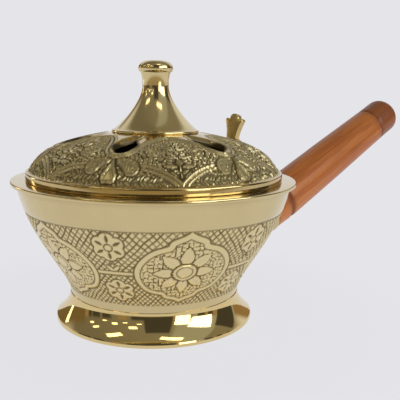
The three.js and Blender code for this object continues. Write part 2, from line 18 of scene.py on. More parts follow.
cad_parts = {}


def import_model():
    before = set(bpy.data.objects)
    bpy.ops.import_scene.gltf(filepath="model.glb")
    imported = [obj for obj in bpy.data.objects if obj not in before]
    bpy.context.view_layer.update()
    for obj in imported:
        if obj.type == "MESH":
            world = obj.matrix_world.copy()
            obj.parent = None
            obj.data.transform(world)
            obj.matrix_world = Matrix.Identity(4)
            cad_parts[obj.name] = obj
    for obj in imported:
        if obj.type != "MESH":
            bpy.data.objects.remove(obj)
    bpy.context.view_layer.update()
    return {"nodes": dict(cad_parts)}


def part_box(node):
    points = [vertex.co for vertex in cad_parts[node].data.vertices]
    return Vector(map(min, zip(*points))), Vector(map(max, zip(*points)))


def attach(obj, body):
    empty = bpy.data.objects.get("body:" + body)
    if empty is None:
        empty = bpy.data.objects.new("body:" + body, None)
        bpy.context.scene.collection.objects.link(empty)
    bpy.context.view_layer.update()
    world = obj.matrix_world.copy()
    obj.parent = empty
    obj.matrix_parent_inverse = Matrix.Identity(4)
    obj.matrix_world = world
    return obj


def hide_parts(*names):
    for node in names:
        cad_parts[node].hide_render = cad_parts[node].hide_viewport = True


log = logging.getLogger("censer")

MM = 0.001
SECTORS = 8
HANDLE_SLOPE = 24.4
Array = np.ndarray
Point = tuple[float, float]
Profile = list[Point]
Triple = tuple[float, float, float]
Colour = Triple
Carving = Callable[[Array, Array, Array], tuple[Array, ...]]


class Slot(Enum):
    """Material slots of the record that the pieces take their finish from."""

    BOWL = "bowl_brass"
    LID = "lid_brass"
    FOOT = "foot_brass"
    FINIAL = "finial_brass"
    FITTING = "fitting_brass"
    SMALL = "small_brass"
    LIFT = "lift_brass"
    GRATE = "grate_brass"
    STUD = "stud_steel"
    WOOD = "grip_wood"


class Body(Enum):
    """Bodies of the frame that the pieces move with."""

    BOWL = "bowl_body"
    LID = "lid_body"
    GRATE = "grate_body"


# Shader expressions


class Term:
    """A shader socket that takes part in Python sums."""

    def __init__(self, graph: "Graph", socket: bpy.types.NodeSocket) -> None:
        """Wraps an output socket of a node tree."""
        self.graph = graph
        self.socket = socket

    def __add__(self, other: "Term | float") -> "Term":
        """Sum."""
        return self.graph.maths("ADD", self, other)

    def __rsub__(self, other: float) -> "Term":
        """Difference from a number."""
        return self.graph.maths("SUBTRACT", other, self)

    def __mul__(self, other: "Term | float") -> "Term":
        """Product."""
        return self.graph.maths("MULTIPLY", self, other)

    __radd__ = __add__
    __rmul__ = __mul__

    def sine(self) -> "Term":
        """Sine of an angle in radians."""
        return self.graph.maths("SINE", self)

    def ramp(self, low: float, high: float) -> "Term":
        """Smooth step from 0 at low to 1 at high.

        Args:
            low: Value where the step starts.
            high: Value where it ends.

        Returns:
            The step, from 0 to 1.
        """
        return self.graph.node(
            "ShaderNodeMapRange",
            {"interpolation_type": "SMOOTHSTEP"},
            {"Value": self, "From Min": low, "From Max": high, "To Min": 0.0, "To Max": 1.0},
        )


class Graph:
    """A node tree that is written as expressions."""

    def __init__(self, tree: bpy.types.NodeTree) -> None:
        """Empties the node tree of a material or a world."""
        self.tree = tree
        tree.nodes.clear()

    @classmethod
    def of_material(cls, name: str) -> "tuple[bpy.types.Material, Graph]":
        """Makes a material.

        Args:
            name: The material's name.

        Returns:
            The material and its empty node tree.
        """
        material = bpy.data.materials.new(name)
        material.use_nodes = True
        return material, cls(material.node_tree)

    def node(self, kind: str, settings: dict, inputs: dict, output: int | str = 0) -> Term:
        """Adds any node.

        Args:
            kind: The node's type.
            settings: Attributes set before its sockets.
            inputs: Values or terms by socket name or number.
            output: Name or number of the output that is wanted.

        Returns:
            That output.
        """
        made = self.tree.nodes.new(kind)
        for name, value in settings.items():
            setattr(made, name, value)
        for name, value in inputs.items():
            socket = made.inputs[name]
            if isinstance(value, Term):
                self.tree.links.new(value.socket, socket)
            elif isinstance(value, tuple) and socket.type == "RGBA":
                socket.default_value = (*value, 1.0)
            else:
                socket.default_value = value
        return Term(self, made.outputs[output])

    def maths(self, operation: str, *values: Term | float) -> Term:
        """The result of a Math node."""
        return self.node("ShaderNodeMath", {"operation": operation}, dict(enumerate(values)))

    def vector_number(self, operation: str, *values: Term | Triple) -> Term:
        """The number that a Vector Math node gives."""
        inputs = dict(enumerate(values))
        return self.node("ShaderNodeVectorMath", {"operation": operation}, inputs, "Value")

    def place(self) -> Term:
        """Object coordinates, in metres."""
        return self.node("ShaderNodeTexCoord", {}, {}, "Object")

    def along(self, slope: float, scale: Triple) -> Term:
        """Object coordinates, turned about Y and then stretched.

        Args:
            slope: Angle in degrees.
            scale: Factors along the turned axes.

        Returns:
            The mapped coordinates.
        """
        angles = (0.0, math.radians(slope), 0.0)
        turned_place = self.node("ShaderNodeMapping", {}, {"Vector": self.place(), "Rotation": angles})
        return self.node("ShaderNodeMapping", {}, {"Vector": turned_place, "Scale": scale})

    def noise(self, where: Term, scale: float, detail: float = 2.0, roughness: float = 0.5) -> Term:
        """Noise from 0 to 1.

        Args:
            where: Coordinates.
            scale: Scale of the pattern, per metre.
            detail: Octaves.
            roughness: Strength of the finer octaves.

        Returns:
            The noise.
        """
        inputs = {"Vector": where, "Scale": scale, "Detail": detail, "Roughness": roughness}
        return self.node("ShaderNodeTexNoise", {}, inputs)

    def attribute(self, name: str) -> Term:
        """A number stored on the mesh."""
        return self.node("ShaderNodeAttribute", {"attribute_name": name}, {}, "Fac")

    def mix(self, share: Term | float, first: Term | Colour, second: Term | Colour) -> Term:
        """Mixes two colours, the second with the given share."""
        return self.node("ShaderNodeMix", {"data_type": "RGBA"}, {0: share, 6: first, 7: second}, 2)

    def bump(self, height: Term, strength: float, distance: float) -> Term:
        """Normals from a height.

        Args:
            height: Height from 0 to 1.
            strength: Strength of the bump.
            distance: Height of 1, in metres.

        Returns:
            The normal.
        """
        inputs = {"Height": height, "Strength": strength, "Distance": distance}
        return self.node("ShaderNodeBump", {}, inputs)

    def end(self, shader: Term, kind: str = "ShaderNodeOutputMaterial") -> None:
        """Links a shader to the output node."""
        out = self.tree.nodes.new(kind)
        self.tree.links.new(shader.socket, out.inputs["Surface"])


# Finishes


def darker(colour: Colour, share: float) -> Colour:
    """A colour that is darker by a share."""
    return tuple(c * (1.0 - share) for c in colour)


@dataclass(frozen=True)
class Finish:
    """A finish of the object's pieces."""

    name: str

    def make(self) -> bpy.types.Material:
        """Builds the material.

        Returns:
            The material.
        """
        material, graph = Graph.of_material(self.name)
        graph.end(graph.node("ShaderNodeBsdfPrincipled", {}, self.surface(graph)))
        return material

    def surface(self, graph: Graph) -> dict[str, Term | float]:
        """Values and terms of the shader, by socket name."""
        raise NotImplementedError


@dataclass(frozen=True)
class Brass(Finish):
    """Bare brass, clouded a little by handling."""

    colour: Colour
    roughness: float
    handling: float = 0.12
    brushed: float = 0.0
    cloud_scale: ClassVar[float] = 70.0
    grain_scale: ClassVar[float] = 900.0
    brushing: ClassVar[Triple] = (40.0, 40.0, 2600.0)

    def clouded(self, graph: Graph) -> tuple[Term, Term]:
        """Works out the metal's colour.

        Args:
            graph: The material's node tree.

        Returns:
            The colour, and the cloud that it follows.
        """
        cloud = graph.noise(graph.place(), self.cloud_scale, 3.0, 0.55)
        worn = darker(self.colour, self.handling)
        return graph.mix(cloud.ramp(0.35, 0.75), self.colour, worn), cloud

    def grain(self, graph: Graph) -> Term:
        """Fine grain of the cast metal."""
        return graph.noise(graph.place(), self.grain_scale, 2.0, 0.6)

    def surface(self, graph: Graph) -> dict[str, Term | float]:
        """Works out the shader.

        Args:
            graph: The material's node tree.

        Returns:
            Values and terms by socket name.
        """
        metal, cloud = self.clouded(graph)
        if self.brushed:
            marks = graph.noise(graph.along(0.0, self.brushing), 1.0, 2.0)
            normal = graph.bump(marks, self.brushed, 0.00004)
        else:
            normal = graph.bump(self.grain(graph), 0.03, 0.00002)
        return {
            "Base Color": metal,
            "Metallic": 1.0,
            "Roughness": self.roughness + cloud.ramp(0.4, 0.8) * self.handling * 0.25,
            "Normal": normal,
        }


@dataclass(frozen=True, kw_only=True)
class CarvedBrass(Brass):
    """Brass that is dark in its cut places, with patina and painted shade, and duller where it is
    tooled.
    """

    patina_and_shade: Colour
    patina_and_shade_share: float
    tooled: Colour
    tooled_roughness: float

    def surface(self, graph: Graph) -> dict[str, Term | float]:
        """Works out the shader.

        Args:
            graph: The material's node tree.

        Returns:
            Values and terms by socket name.
        """
        cut, tooled = graph.attribute("cut"), graph.attribute("tooled")
        # Darkness mixes in patina in the hollows, painted shade under the bowl's rim and on the vents'
        # walls, and the darker inside of the lid.
        shade = cut.ramp(0.12, 1.0) * self.patina_and_shade_share
        metal = graph.mix(tooled, self.clouded(graph)[0], self.tooled)
        return {
            "Base Color": graph.mix(shade, metal, self.patina_and_shade),
            "Metallic": 1.0 - shade * 0.4,
            "Roughness": self.roughness + tooled * self.tooled_roughness + cut * 0.2,
            "Normal": graph.bump(self.grain(graph) * tooled, 0.25, 0.00005),
        }


@dataclass(frozen=True)
class VarnishedWood(Finish):
    """Red-brown hardwood under a clear varnish, with its grain along the handle."""

    light: Colour = (0.53, 0.168, 0.03)
    dark: Colour = (0.41, 0.112, 0.02)
    # Painted shade for the groove and the shoulder's notch, also used to darken the rounded end.
    shade_and_darker_end: Colour = (0.12, 0.024, 0.006)
    slope: float = HANDLE_SLOPE
    bands: Triple = (9.0, 120.0, 120.0)
    pores: Triple = (30.0, 1500.0, 1500.0)

    def surface(self, graph: Graph) -> dict[str, Term | float]:
        """Works out the shader.

        Args:
            graph: The material's node tree.

        Returns:
            Values and terms by socket name.
        """
        bands = graph.noise(graph.along(self.slope, self.bands), 1.0, 4.0, 0.6)
        pores = graph.noise(graph.along(self.slope, self.pores), 1.0, 2.0, 0.5)
        rings = ((bands * 26.0).sine() * 0.5 + 0.5) * 0.45 + bands * 0.55
        colour = graph.mix(rings.ramp(0.25, 0.85), self.light, self.dark)
        colour = graph.mix(pores.ramp(0.56, 0.72) * 0.35, colour, darker(self.dark, 0.55))
        return {
            # Painted shade in the groove and at the shoulder, and the darker end, as marked on the
            # grip.
            "Base Color": graph.mix(graph.attribute("cut"), colour, self.shade_and_darker_end),
            "Roughness": 0.5 + pores * 0.12,
            "Specular IOR Level": 0.25,
            "Coat Weight": 0.35,
            "Coat Roughness": 0.2,
            "Normal": graph.bump(pores, 0.12, 0.0001),
        }


@dataclass(frozen=True)
class Steel(Finish):
    """Plain steel with fine turning marks."""

    colour: Colour = (0.56, 0.56, 0.57)

    def surface(self, graph: Graph) -> dict[str, Term | float]:
        """Works out the shader.

        Args:
            graph: The material's node tree.

        Returns:
            Values and terms by socket name.
        """
        marks = graph.noise(graph.place(), 1200.0, 3.0)
        return {
            "Base Color": graph.mix(marks, self.colour, darker(self.colour, 0.2)),
            "Metallic": 1.0,
            "Roughness": 0.3 + marks * 0.15,
            "Normal": graph.bump(marks, 0.1, 0.00005),
        }


FINISHES: dict[Slot, Finish] = {
    Slot.BOWL: CarvedBrass(
        "engraved_bowl_brass", (0.69, 0.56, 0.295), 0.14, 0.06, patina_and_shade=(0.13, 0.085, 0.018),
        patina_and_shade_share=0.92, tooled=(0.785, 0.645, 0.345), tooled_roughness=0.1,
    ),
    # The lid's untooled brass, on its ring, is its own colour tinted more golden as painted reflection
    # of the brass beside it.
    Slot.LID: CarvedBrass(
        "cast_lid_brass", (0.6, 0.46, 0.21), 0.12, 0.08, patina_and_shade=(0.1, 0.075, 0.03),
        patina_and_shade_share=0.95, tooled=(0.56, 0.47, 0.25), tooled_roughness=0.22,
    ),
    Slot.FOOT: Brass("mirror_foot_brass", (0.79, 0.62, 0.29), 0.055, 0.05),
    Slot.FINIAL: Brass("polished_finial_brass", (0.74, 0.60, 0.31), 0.13, 0.08),
    Slot.FITTING: Brass("satin_fitting_brass", (0.66, 0.52, 0.26), 0.3, brushed=0.2),
    Slot.SMALL: Brass("small_fastener_brass", (0.68, 0.49, 0.20), 0.28, 0.2),
    Slot.LIFT: Brass("golden_lift_brass", (0.72, 0.545, 0.235), 0.3, 0.3),
    Slot.GRATE: Brass("dull_grate_brass", (0.46, 0.36, 0.2), 0.5, 0.35),
    Slot.STUD: Steel("stud_steel"),
    Slot.WOOD: VarnishedWood("varnished_red_wood"),
}


# Curves


def bezier(start: Point, first: Point, second: Point, end: Point, count: int) -> Profile:
    """A cubic curve.

    Args:
        start: First point.
        first: First handle.
        second: Second handle.
        end: Last point.
        count: Stretches along the curve.

    Returns:
        The curve's points.
    """
    points = []
    for i in range(count + 1):
        t = i / count
        u = 1 - t
        weights = (u ** 3, 3 * u * u * t, 3 * u * t * t, t ** 3)
        places = zip(weights, (start, first, second, end))
        points.append(tuple(np.sum([w * np.array(p) for w, p in places], axis=0).tolist()))
    return points


def shaped(start: Point, end: Point, first: Point, second: Point, count: int) -> Profile:
    """A curve between two points whose two handles are shares of the way across and up.

    Args:
        start: First point.
        end: Last point.
        first: Share across and up of the first handle.
        second: Share across and up of the second handle.
        count: Stretches along the curve.

    Returns:
        The curve's points, as radius and height.
    """
    (x, y), (dx, dy) = start, (end[0] - start[0], end[1] - start[1])
    handles = [(x + dx * across, y + dy * up) for across, up in (first, second)]
    return bezier(start, *handles, end, count)


def quarter(radius: float, height: float, middle: float, count: int, inner: float = 0.0) -> Profile:
    """A quarter of an ellipse from its side up to its top.

    Args:
        radius: Half width.
        height: Half height.
        middle: Height of its middle.
        count: Stretches.
        inner: Radius of its middle.

    Returns:
        Points as radius and height.
    """
    turns = (math.pi / 2 * i / count for i in range(count + 1))
    return [(inner + radius * math.cos(a), middle + height * math.sin(a)) for a in turns]


def evenly(line: Profile, step: float) -> Profile:
    """The same line with points at even distances.

    Args:
        line: Points of the line.
        step: Distance wanted.

    Returns:
        The new points.
    """
    points = np.array(line, float)
    run = np.concatenate([[0.0], np.cumsum(np.hypot(*np.diff(points, axis=0).T))])
    at = np.linspace(0.0, run[-1], max(2, round(run[-1] / step) + 1))
    return list(zip(np.interp(at, run, points[:, 0]), np.interp(at, run, points[:, 1])))


def headings(points: Array) -> Array:
    """Unit vectors along a line, one for each point."""
    slope = np.gradient(points, axis=0)
    return slope / np.hypot(slope[:, 0], slope[:, 1])[:, None]


def smooth_line(points: Sequence[Point], count: int = 8) -> Profile:
    """A smooth curve through points.

    Args:
        points: Points that it passes.
        count: Stretches between two points.

    Returns:
        The curve's points.
    """
    p = np.array([points[0], *points, points[-1]], float)
    made = []
    for i in range(1, len(p) - 2):
        for t in np.linspace(0.0, 1.0, count, endpoint=False):
            a = 2 * p[i] + (p[i + 1] - p[i - 1]) * t
            b = (2 * p[i - 1] - 5 * p[i] + 4 * p[i + 1] - p[i + 2]) * t ** 2
            c = (3 * p[i] - p[i - 1] - 3 * p[i + 1] + p[i + 2]) * t ** 3
            made.append(tuple((a + b + c) / 2))
    return [*made, tuple(points[-1])]


# Meshes


def finished(name: str, bm: bmesh.types.BMesh) -> bpy.types.Object:
    """Turns a bmesh into an object of the scene.

    Args:
        name: The piece's name.
        bm: The bmesh, which is freed.

    Returns:
        The object.
    """
    mesh = bpy.data.meshes.new(name)
    bm.to_mesh(mesh)
    bm.free()
    piece = bpy.data.objects.new(name, mesh)
    bpy.context.scene.collection.objects.link(piece)
    return piece


def new_points(geometry: Sequence) -> list[bmesh.types.BMVert]:
    """The points among what an operator made."""
    return [g for g in geometry if isinstance(g, bmesh.types.BMVert)]


def turned(name: str, profile: Profile, steps: int, closed: bool = True) -> bpy.types.Object:
    """Spins a profile about Z, in millimetres, one sector at a time.

    Args:
        name: The piece's name.
        profile: Radius and height of each point.
        steps: Stretches round the axis, a multiple of the sectors.
        closed: Joins the last point to the first, for a piece that is open in the middle.

    Returns:
        The piece, still about its own axis.
    """
    bm = bmesh.new()
    points = [bm.verts.new((radius, 0.0, height)) for radius, height in profile]
    edges = [bm.edges.new(pair) for pair in zip(points, points[1:])]
    if closed:
        edges.append(bm.edges.new((points[-1], points[0])))
    sector = 2 * math.pi / SECTORS
    bmesh.ops.spin(
        bm, geom=[*points, *edges], axis=(0, 0, 1), cent=(0, 0, 0), dvec=(0, 0, 0),
        angle=sector, steps=steps // SECTORS, use_merge=False, use_duplicate=False,
    )
    first = [*bm.verts, *bm.edges, *bm.faces]
    for i in range(1, SECTORS):
        copied = new_points(bmesh.ops.duplicate(bm, geom=first)["geom"])
        bmesh.ops.rotate(bm, verts=copied, cent=(0, 0, 0), matrix=Matrix.Rotation(i * sector, 3, "Z"))
    bmesh.ops.remove_doubles(bm, verts=bm.verts, dist=0.0005)
    bmesh.ops.recalc_face_normals(bm, faces=bm.faces)
    return finished(name, bm)


def carve(piece: bpy.types.Object, carving: Carving) -> None:
    """Moves a piece's points and stores how dark and how tooled each place is.

    Args:
        piece: The piece, about its own axis.
        carving: Takes angle, radius and height of each point and gives how far it moves out
            and up, how dark the place is, and how much it is tooled, both from 0 to 1.
    """
    mesh = piece.data
    co = np.empty(len(mesh.vertices) * 3, np.float64)
    mesh.vertices.foreach_get("co", co)
    co = co.reshape(-1, 3)
    angle = np.degrees(np.arctan2(co[:, 1], co[:, 0]))
    radius = np.hypot(co[:, 0], co[:, 1])
    out, up, cut, tooled = carving(angle, radius, co[:, 2])
    co[:, :2] *= ((radius + out) / np.maximum(radius, 1e-6))[:, None]
    co[:, 2] += up
    mesh.vertices.foreach_set("co", co.ravel())
    for name, values in (("cut", cut), ("tooled", tooled)):
        mesh.attributes.new(name, "FLOAT", "POINT").data.foreach_set("value", values)
    mesh.update()


class Workshop:
    """Holds the made finishes, dresses pieces and ties them to the frame."""

    def __init__(self) -> None:
        """Makes each finish once."""
        self.made = {slot: finish.make() for slot, finish in FINISHES.items()}

    def dress(self, piece: bpy.types.Object, slot: Slot) -> None:
        """Gives a piece its material.

        Args:
            piece: A new piece or a node of the frame.
            slot: Which finish.
        """
        if piece.material_slots:
            for place in piece.material_slots:
                place.link = "OBJECT"
                place.material = self.made[slot]
        else:
            piece.data.materials.append(self.made[slot])

    def hand_over(
        self, piece: bpy.types.Object, body: Body, slot: Slot, node: str, crease: float = 32.0
    ) -> None:
        """Dresses a piece in place and ties it to its body.

        Args:
            piece: The piece, in place.
            body: The body that it moves with.
            slot: Its finish.
            node: Node of the frame that it stands for.
            crease: Angle above which an edge stays sharp.
        """
        mesh = piece.data
        mesh.polygons.foreach_set("use_smooth", [True] * len(mesh.polygons))
        mesh.set_sharp_from_angle(angle=math.radians(crease))
        mesh.update()
        self.dress(piece, slot)
        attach(piece, body.value)
        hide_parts(node)
        log.info("%s: %d faces on %s", piece.name, len(mesh.polygons), body.value)


# Ornament, as heights on arrays of points


def groove(distance: Array, width: float | Array) -> Array:
    """A rounded groove or ridge, 1 on the line and 0 past its width."""
    return np.clip(1.0 - (distance / width) ** 2, 0.0, 1.0) ** 1.5


def soft_step(value: Array, low: float, high: float) -> Array:
    """Smooth step from 0 at low to 1 at high."""
    t = np.clip((value - low) / (high - low), 0.0, 1.0)
    return t * t * (3.0 - 2.0 * t)


def to_line(x: Array, y: Array, points: Sequence[Point]) -> Array:
    """Distance of each point to an open line.

    Args:
        x: First coordinates.
        y: Second coordinates.
        points: The line's points.

    Returns:
        The distances.
    """
    best = np.full(x.shape, 1e9)
    for (ax, ay), (bx, by) in zip(points, points[1:]):
        dx, dy = bx - ax, by - ay
        t = np.clip(((x - ax) * dx + (y - ay) * dy) / (dx * dx + dy * dy), 0.0, 1.0)
        best = np.minimum(best, np.hypot(x - ax - t * dx, y - ay - t * dy))
    return best


def within(x: Array, y: Array, polygon: Sequence[Point]) -> Array:
    """Which points lie inside a polygon.

    Args:
        x: First coordinates.
        y: Second coordinates.
        polygon: The polygon's corners.

    Returns:
        A mask.
    """
    inside = np.zeros(x.shape, bool)
    for (ax, ay), (bx, by) in zip(polygon, [*polygon[1:], polygon[0]]):
        if ay == by:
            continue
        crosses = (ay > y) != (by > y)
        inside ^= crosses & (x < (bx - ax) * (y - ay) / (by - ay) + ax)
    return inside


def inside_by(x: Array, y: Array, outline: Sequence[Point]) -> Array:
    """How far each point lies inside an outline, below zero outside."""
    distance = to_line(x, y, outline)
    return np.where(within(x, y, outline), distance, -distance)


def leaf(x: Array, y: Array, root: Point, lean: float, length: float, width: float) -> Array:
    """How far each point lies inside a pointed leaf.

    Args:
        x: First coordinates.
        y: Second coordinates.
        root: Where the leaf starts.
        lean: Its direction in degrees.
        length: Its length.
        width: Half of its greatest width.

    Returns:
        Distance from its side, below zero outside.
    """
    c, s = math.cos(math.radians(lean)), math.sin(math.radians(lean))
    along = (x - root[0]) * c + (y - root[1]) * s
    across = np.abs((y - root[1]) * c - (x - root[0]) * s)
    share = np.clip(along / length, 0.0, 1.0)
    half = width * np.sin(math.pi * share ** 0.8) ** 0.85
    return np.where((along > 0.0) & (along < length), half - across, -1.0)


def cells(x: Array, y: Array, size: float, seed: float) -> Array:
    """How far each point is from the seam between two cells of an uneven ground.

    Args:
        x: First coordinates.
        y: Second coordinates.
        size: Mean size of a cell.
        seed: Any number.

    Returns:
        The distance from the nearest seam, as a share of the size.
    """
    gx, gy = x / size, y / size
    ix, iy = np.floor(gx), np.floor(gy)
    first = np.full(x.shape, 9.0)
    second = np.full(x.shape, 9.0)
    for ox in (-1, 0, 1):
        for oy in (-1, 0, 1):
            cx, cy = ix + ox, iy + oy
            wave = np.sin(cx * 127.1 + cy * 311.7 + seed) * 43758.5453
            other = np.sin(cx * 269.5 + cy * 183.3 + seed) * 24634.6345
            px = cx + 0.15 + 0.7 * (wave - np.floor(wave))
            py = cy + 0.15 + 0.7 * (other - np.floor(other))
            d = np.hypot(gx - px, gy - py)
            second = np.where(d < first, first, np.minimum(second, d))
            first = np.minimum(first, d)
    return second - first


@dataclass
class Band:
    """Maps a turned surface to flat coordinates that keep its angles.

    One unit is half a repeat of the ornament, round the axis and along the profile alike.
    """

    line: Profile
    middle: float
    repeats: int
    phase: float = 0.0
    by_height: bool = True
    fineness: ClassVar[float] = 0.1

    def __post_init__(self) -> None:
        """Works out the table of the profile."""
        points = np.array(evenly(self.line, self.fineness), float)
        length = np.hypot(*np.diff(points, axis=0).T)
        radius = (points[1:, 0] + points[:-1, 0]) / 2
        climb = np.concatenate([[0.0], np.cumsum(length / radius)]) / (math.pi / self.repeats)
        key = points[:, 1] if self.by_height else points[:, 0]
        order = np.argsort(key)
        self.key, self.climb, self.slope = key[order], climb[order], headings(points)[order]
        self.climb = self.climb - np.interp(self.middle, self.key, self.climb)

    def flat(self, angle: Array, key: Array) -> tuple[Array, Array]:
        """Coordinates from the middle of the nearest repeat.

        Args:
            angle: Angles in degrees.
            key: Heights, or radii where the band is read by radius.

        Returns:
            Across and along.
        """
        width = 360.0 / self.repeats
        across = (np.mod(angle - self.phase + width / 2, width) - width / 2) / (width / 2)
        return across, np.interp(key, self.key, self.climb)

    def push(self, key: Array, height: Array) -> tuple[Array, Array]:
        """Turns heights square to the surface into moves.

        Args:
            key: Heights, or radii where the band is read by radius.
            height: How far each point moves outwards.

        Returns:
            How far it moves out and up.
        """
        out = np.interp(key, self.key, self.slope[:, 1])
        return height * out, height * -np.interp(key, self.key, self.slope[:, 0])


class MedallionPattern:
    """Five medallions with an eight-petalled flower, on a hatched ground with small flowers.

    They stand one pitch apart, counted from the side away from the handle, which leaves a wider
    gap at the handle. Pitch and unit are in degrees round the bowl.
    """

    pitch: float = 66.0
    unit: float = 30.0
    depth: float = 0.34
    top: float = 0.742
    bottom: float = -0.815
    border: float = 0.1
    far_off: float = 9.0
    hatching_lines: float = 8.6
    between: float = pitch / unit / 2
    parts: tuple[Profile, ...] = (
        [(0.0, 0.765), (0.03, 0.736), (0.07, 0.708), (0.125, 0.68), (0.19, 0.652), (0.245, 0.622),
         (0.275, 0.585), (0.29, 0.54)],
        [(0.29, 0.54), (0.36, 0.515), (0.43, 0.492), (0.52, 0.445), (0.605, 0.375), (0.69, 0.275),
         (0.75, 0.17), (0.785, 0.07), (0.797, -0.04), (0.79, -0.13), (0.765, -0.23),
         (0.725, -0.325), (0.655, -0.425), (0.555, -0.492), (0.45, -0.527), (0.365, -0.548)],
        [(0.365, -0.548), (0.34, -0.595), (0.30, -0.635), (0.235, -0.665), (0.15, -0.69),
         (0.07, -0.73), (0.0, -0.775)],
    )

    def __init__(self) -> None:
        """Joins the parts of half an outline, which meet in corners."""
        self.outline = [(0.0, 0.766), *(p for part in self.parts for p in smooth_line(part)[1:])]

    def across(self, angle: Array) -> tuple[Array, Array]:
        """Where points lie round the bowl.

        Args:
            angle: Angles in degrees from the handle.

        Returns:
            Distance from the nearest medallion's middle, and whether it is next to the handle.
        """
        away = np.abs(np.mod(angle + 180.0, 360.0) - 180.0)
        nearest = np.clip(np.round((180.0 - away) / self.pitch), 0, 2)
        middle = 180.0 - nearest * self.pitch
        return (away - middle) / self.unit, away < 180.0 - 2 * self.pitch

    def carve(self, angle: Array, v: Array) -> tuple[Array, Array]:
        """Depth and darkness of the engraving.

        Args:
            angle: Angles in degrees from the handle.
            v: Along, from a medallion's middle.

        Returns:
            Heights in millimetres and darkness from 0 to 1.
        """
        u, near_handle = self.across(angle)
        beside = np.where(near_handle, self.far_off, np.abs(u)) - self.between
        outside = -inside_by(np.abs(u), v, self.outline)
        flowers, on_flower = self.small_flowers(beside, v)
        bar, on_bar = self.bar(beside, v)
        ground = np.where(on_flower, flowers, np.minimum(self.hatching(angle, v), flowers))
        ground = np.where(on_bar & ~on_flower, bar, ground)

        seams = soft_step(cells(u + 7.0, v + 3.0, 0.078, 1.7), 0.04, 0.2)
        petals, on_petal = self.flower(u, v)
        inner = np.where(on_petal, petals, -0.08 - 0.92 * (1.0 - seams))
        height = np.where(outside > 0.0, ground, np.where(outside > -self.border, 0.0, inner))
        lines = np.maximum(groove(outside, 0.023), 0.85 * groove(outside + self.border, 0.02))
        height = np.minimum(height, -lines)
        past = np.maximum(v - self.top, self.bottom - v)
        height = height * (1.0 - soft_step(past, -0.005, 0.008)) - 0.8 * groove(past - 0.012, 0.016)
        return height * self.depth, np.clip(-height, 0.0, 1.0)

    def hatching(self, angle: Array, v: Array) -> Array:
        """Diamond hatching cut by hand, so its lines wander a little.

        Args:
            angle: Angles in degrees.
            v: Along.

        Returns:
            Heights down to about -1.
        """
        turn = np.radians(angle)
        low = np.zeros(v.shape)
        for sign in (1.0, -1.0):
            along = angle / 3.0 + sign * v * self.hatching_lines
            along = along + 0.06 * np.sin(turn * 17.0 + v * 7.0 + sign)
            along = along + 0.05 * np.sin(turn * 37.0 - sign * v * 9.0)
            deep = 0.9 + 0.15 * np.sin(turn * 29.0 + v * 23.0 * sign)
            low = np.minimum(low, -deep * groove((along - np.round(along)) * 0.1, 0.027))
        return low

    @staticmethod
    def small_flowers(x: Array, v: Array) -> tuple[Array, Array]:
        """Six-lobed flowers half-way between the medallions, one above and one below.

        Args:
            x: Across, from half-way between two medallions.
            v: Along.

        Returns:
            Heights, and which points lie on a flower.
        """
        height = np.zeros(x.shape)
        inside = np.zeros(x.shape, bool)
        for at, size in ((0.483, 0.248), (-0.452, 0.285)):
            y = v - at
            r = np.hypot(x, y)
            off = np.mod(np.arctan2(y, x), math.pi / 3) - math.pi / 6
            rim = size * (0.82 + 0.18 * np.cos(off * 3.0) ** 0.7)
            share = np.clip((r / size - 0.34) / 0.48, 0.0, 1.0)
            slit = groove(r * np.sin(off), 0.014 + 0.03 * np.sin(math.pi * share))
            slit = slit * (share > 0) * (share < 1)
            eye = groove(r - size * 0.24, 0.022)
            height = np.where(r < rim, -np.maximum(slit, eye * 0.9), height)
            height = np.minimum(height, -groove(r - rim, 0.022))
            inside |= r < rim
        return height, inside

    @staticmethod
    def bar(x: Array, v: Array) -> tuple[Array, Array]:
        """Raised bar from medallion to medallion, with a three-pointed leaf on it.

        Args:
            x: Across, from half-way between two medallions.
            v: Along.

        Returns:
            Heights, and which points lie on the bar.
        """
        off = np.abs(v + 0.02)
        height = -groove(off - 0.042, 0.02)
        inside = off < 0.057
        for lean in (90.0, 48.0, 132.0):
            edge = leaf(x, v, (0.0, 0.03), lean, 0.17, 0.042)
            height = np.where(edge > -0.012, -groove(edge, 0.02), height)
            inside |= edge > -0.012
        return height, inside

    @staticmethod
    def flower(u: Array, v: Array) -> tuple[Array, Array]:
        """Eight pointed petals round a double oval.

        Args:
            u: Across, from the medallion's middle.
            v: Along.

        Returns:
            Heights, and which points lie on the flower.
        """
        r = np.hypot(u, v)
        turn = math.pi / 4
        off = np.mod(np.arctan2(v, u) + turn / 2, turn) - turn / 2
        x, y = r * np.cos(off), np.abs(r * np.sin(off))
        root, tip = 0.12, 0.53
        share = np.clip((x - root) / (tip - root), 0.0, 1.0)
        edge = 0.116 * np.sin(math.pi * share ** 0.86) ** 0.95 - y
        petal = (edge > 0.0) & (x > root) & (x < tip)
        dome = 0.22 * np.clip(edge / 0.07, 0.0, 1.0) - 0.22
        vein = groove(y, 0.016) * (share > 0.2) * (share < 0.7) * 0.3
        height = np.where(petal, dome - vein, -1.0)
        height = np.where(petal & (edge < 0.02), -0.95, height)
        oval = np.hypot(u / 1.08, v)
        height = np.where(oval < 0.185, -0.02, height)
        height = height - groove(oval - 0.12, 0.02) * 0.8 * (oval < 0.17)
        height = np.where(np.abs(oval - 0.19) < 0.017, -0.95, height)
        return height, petal | (oval < 0.207)


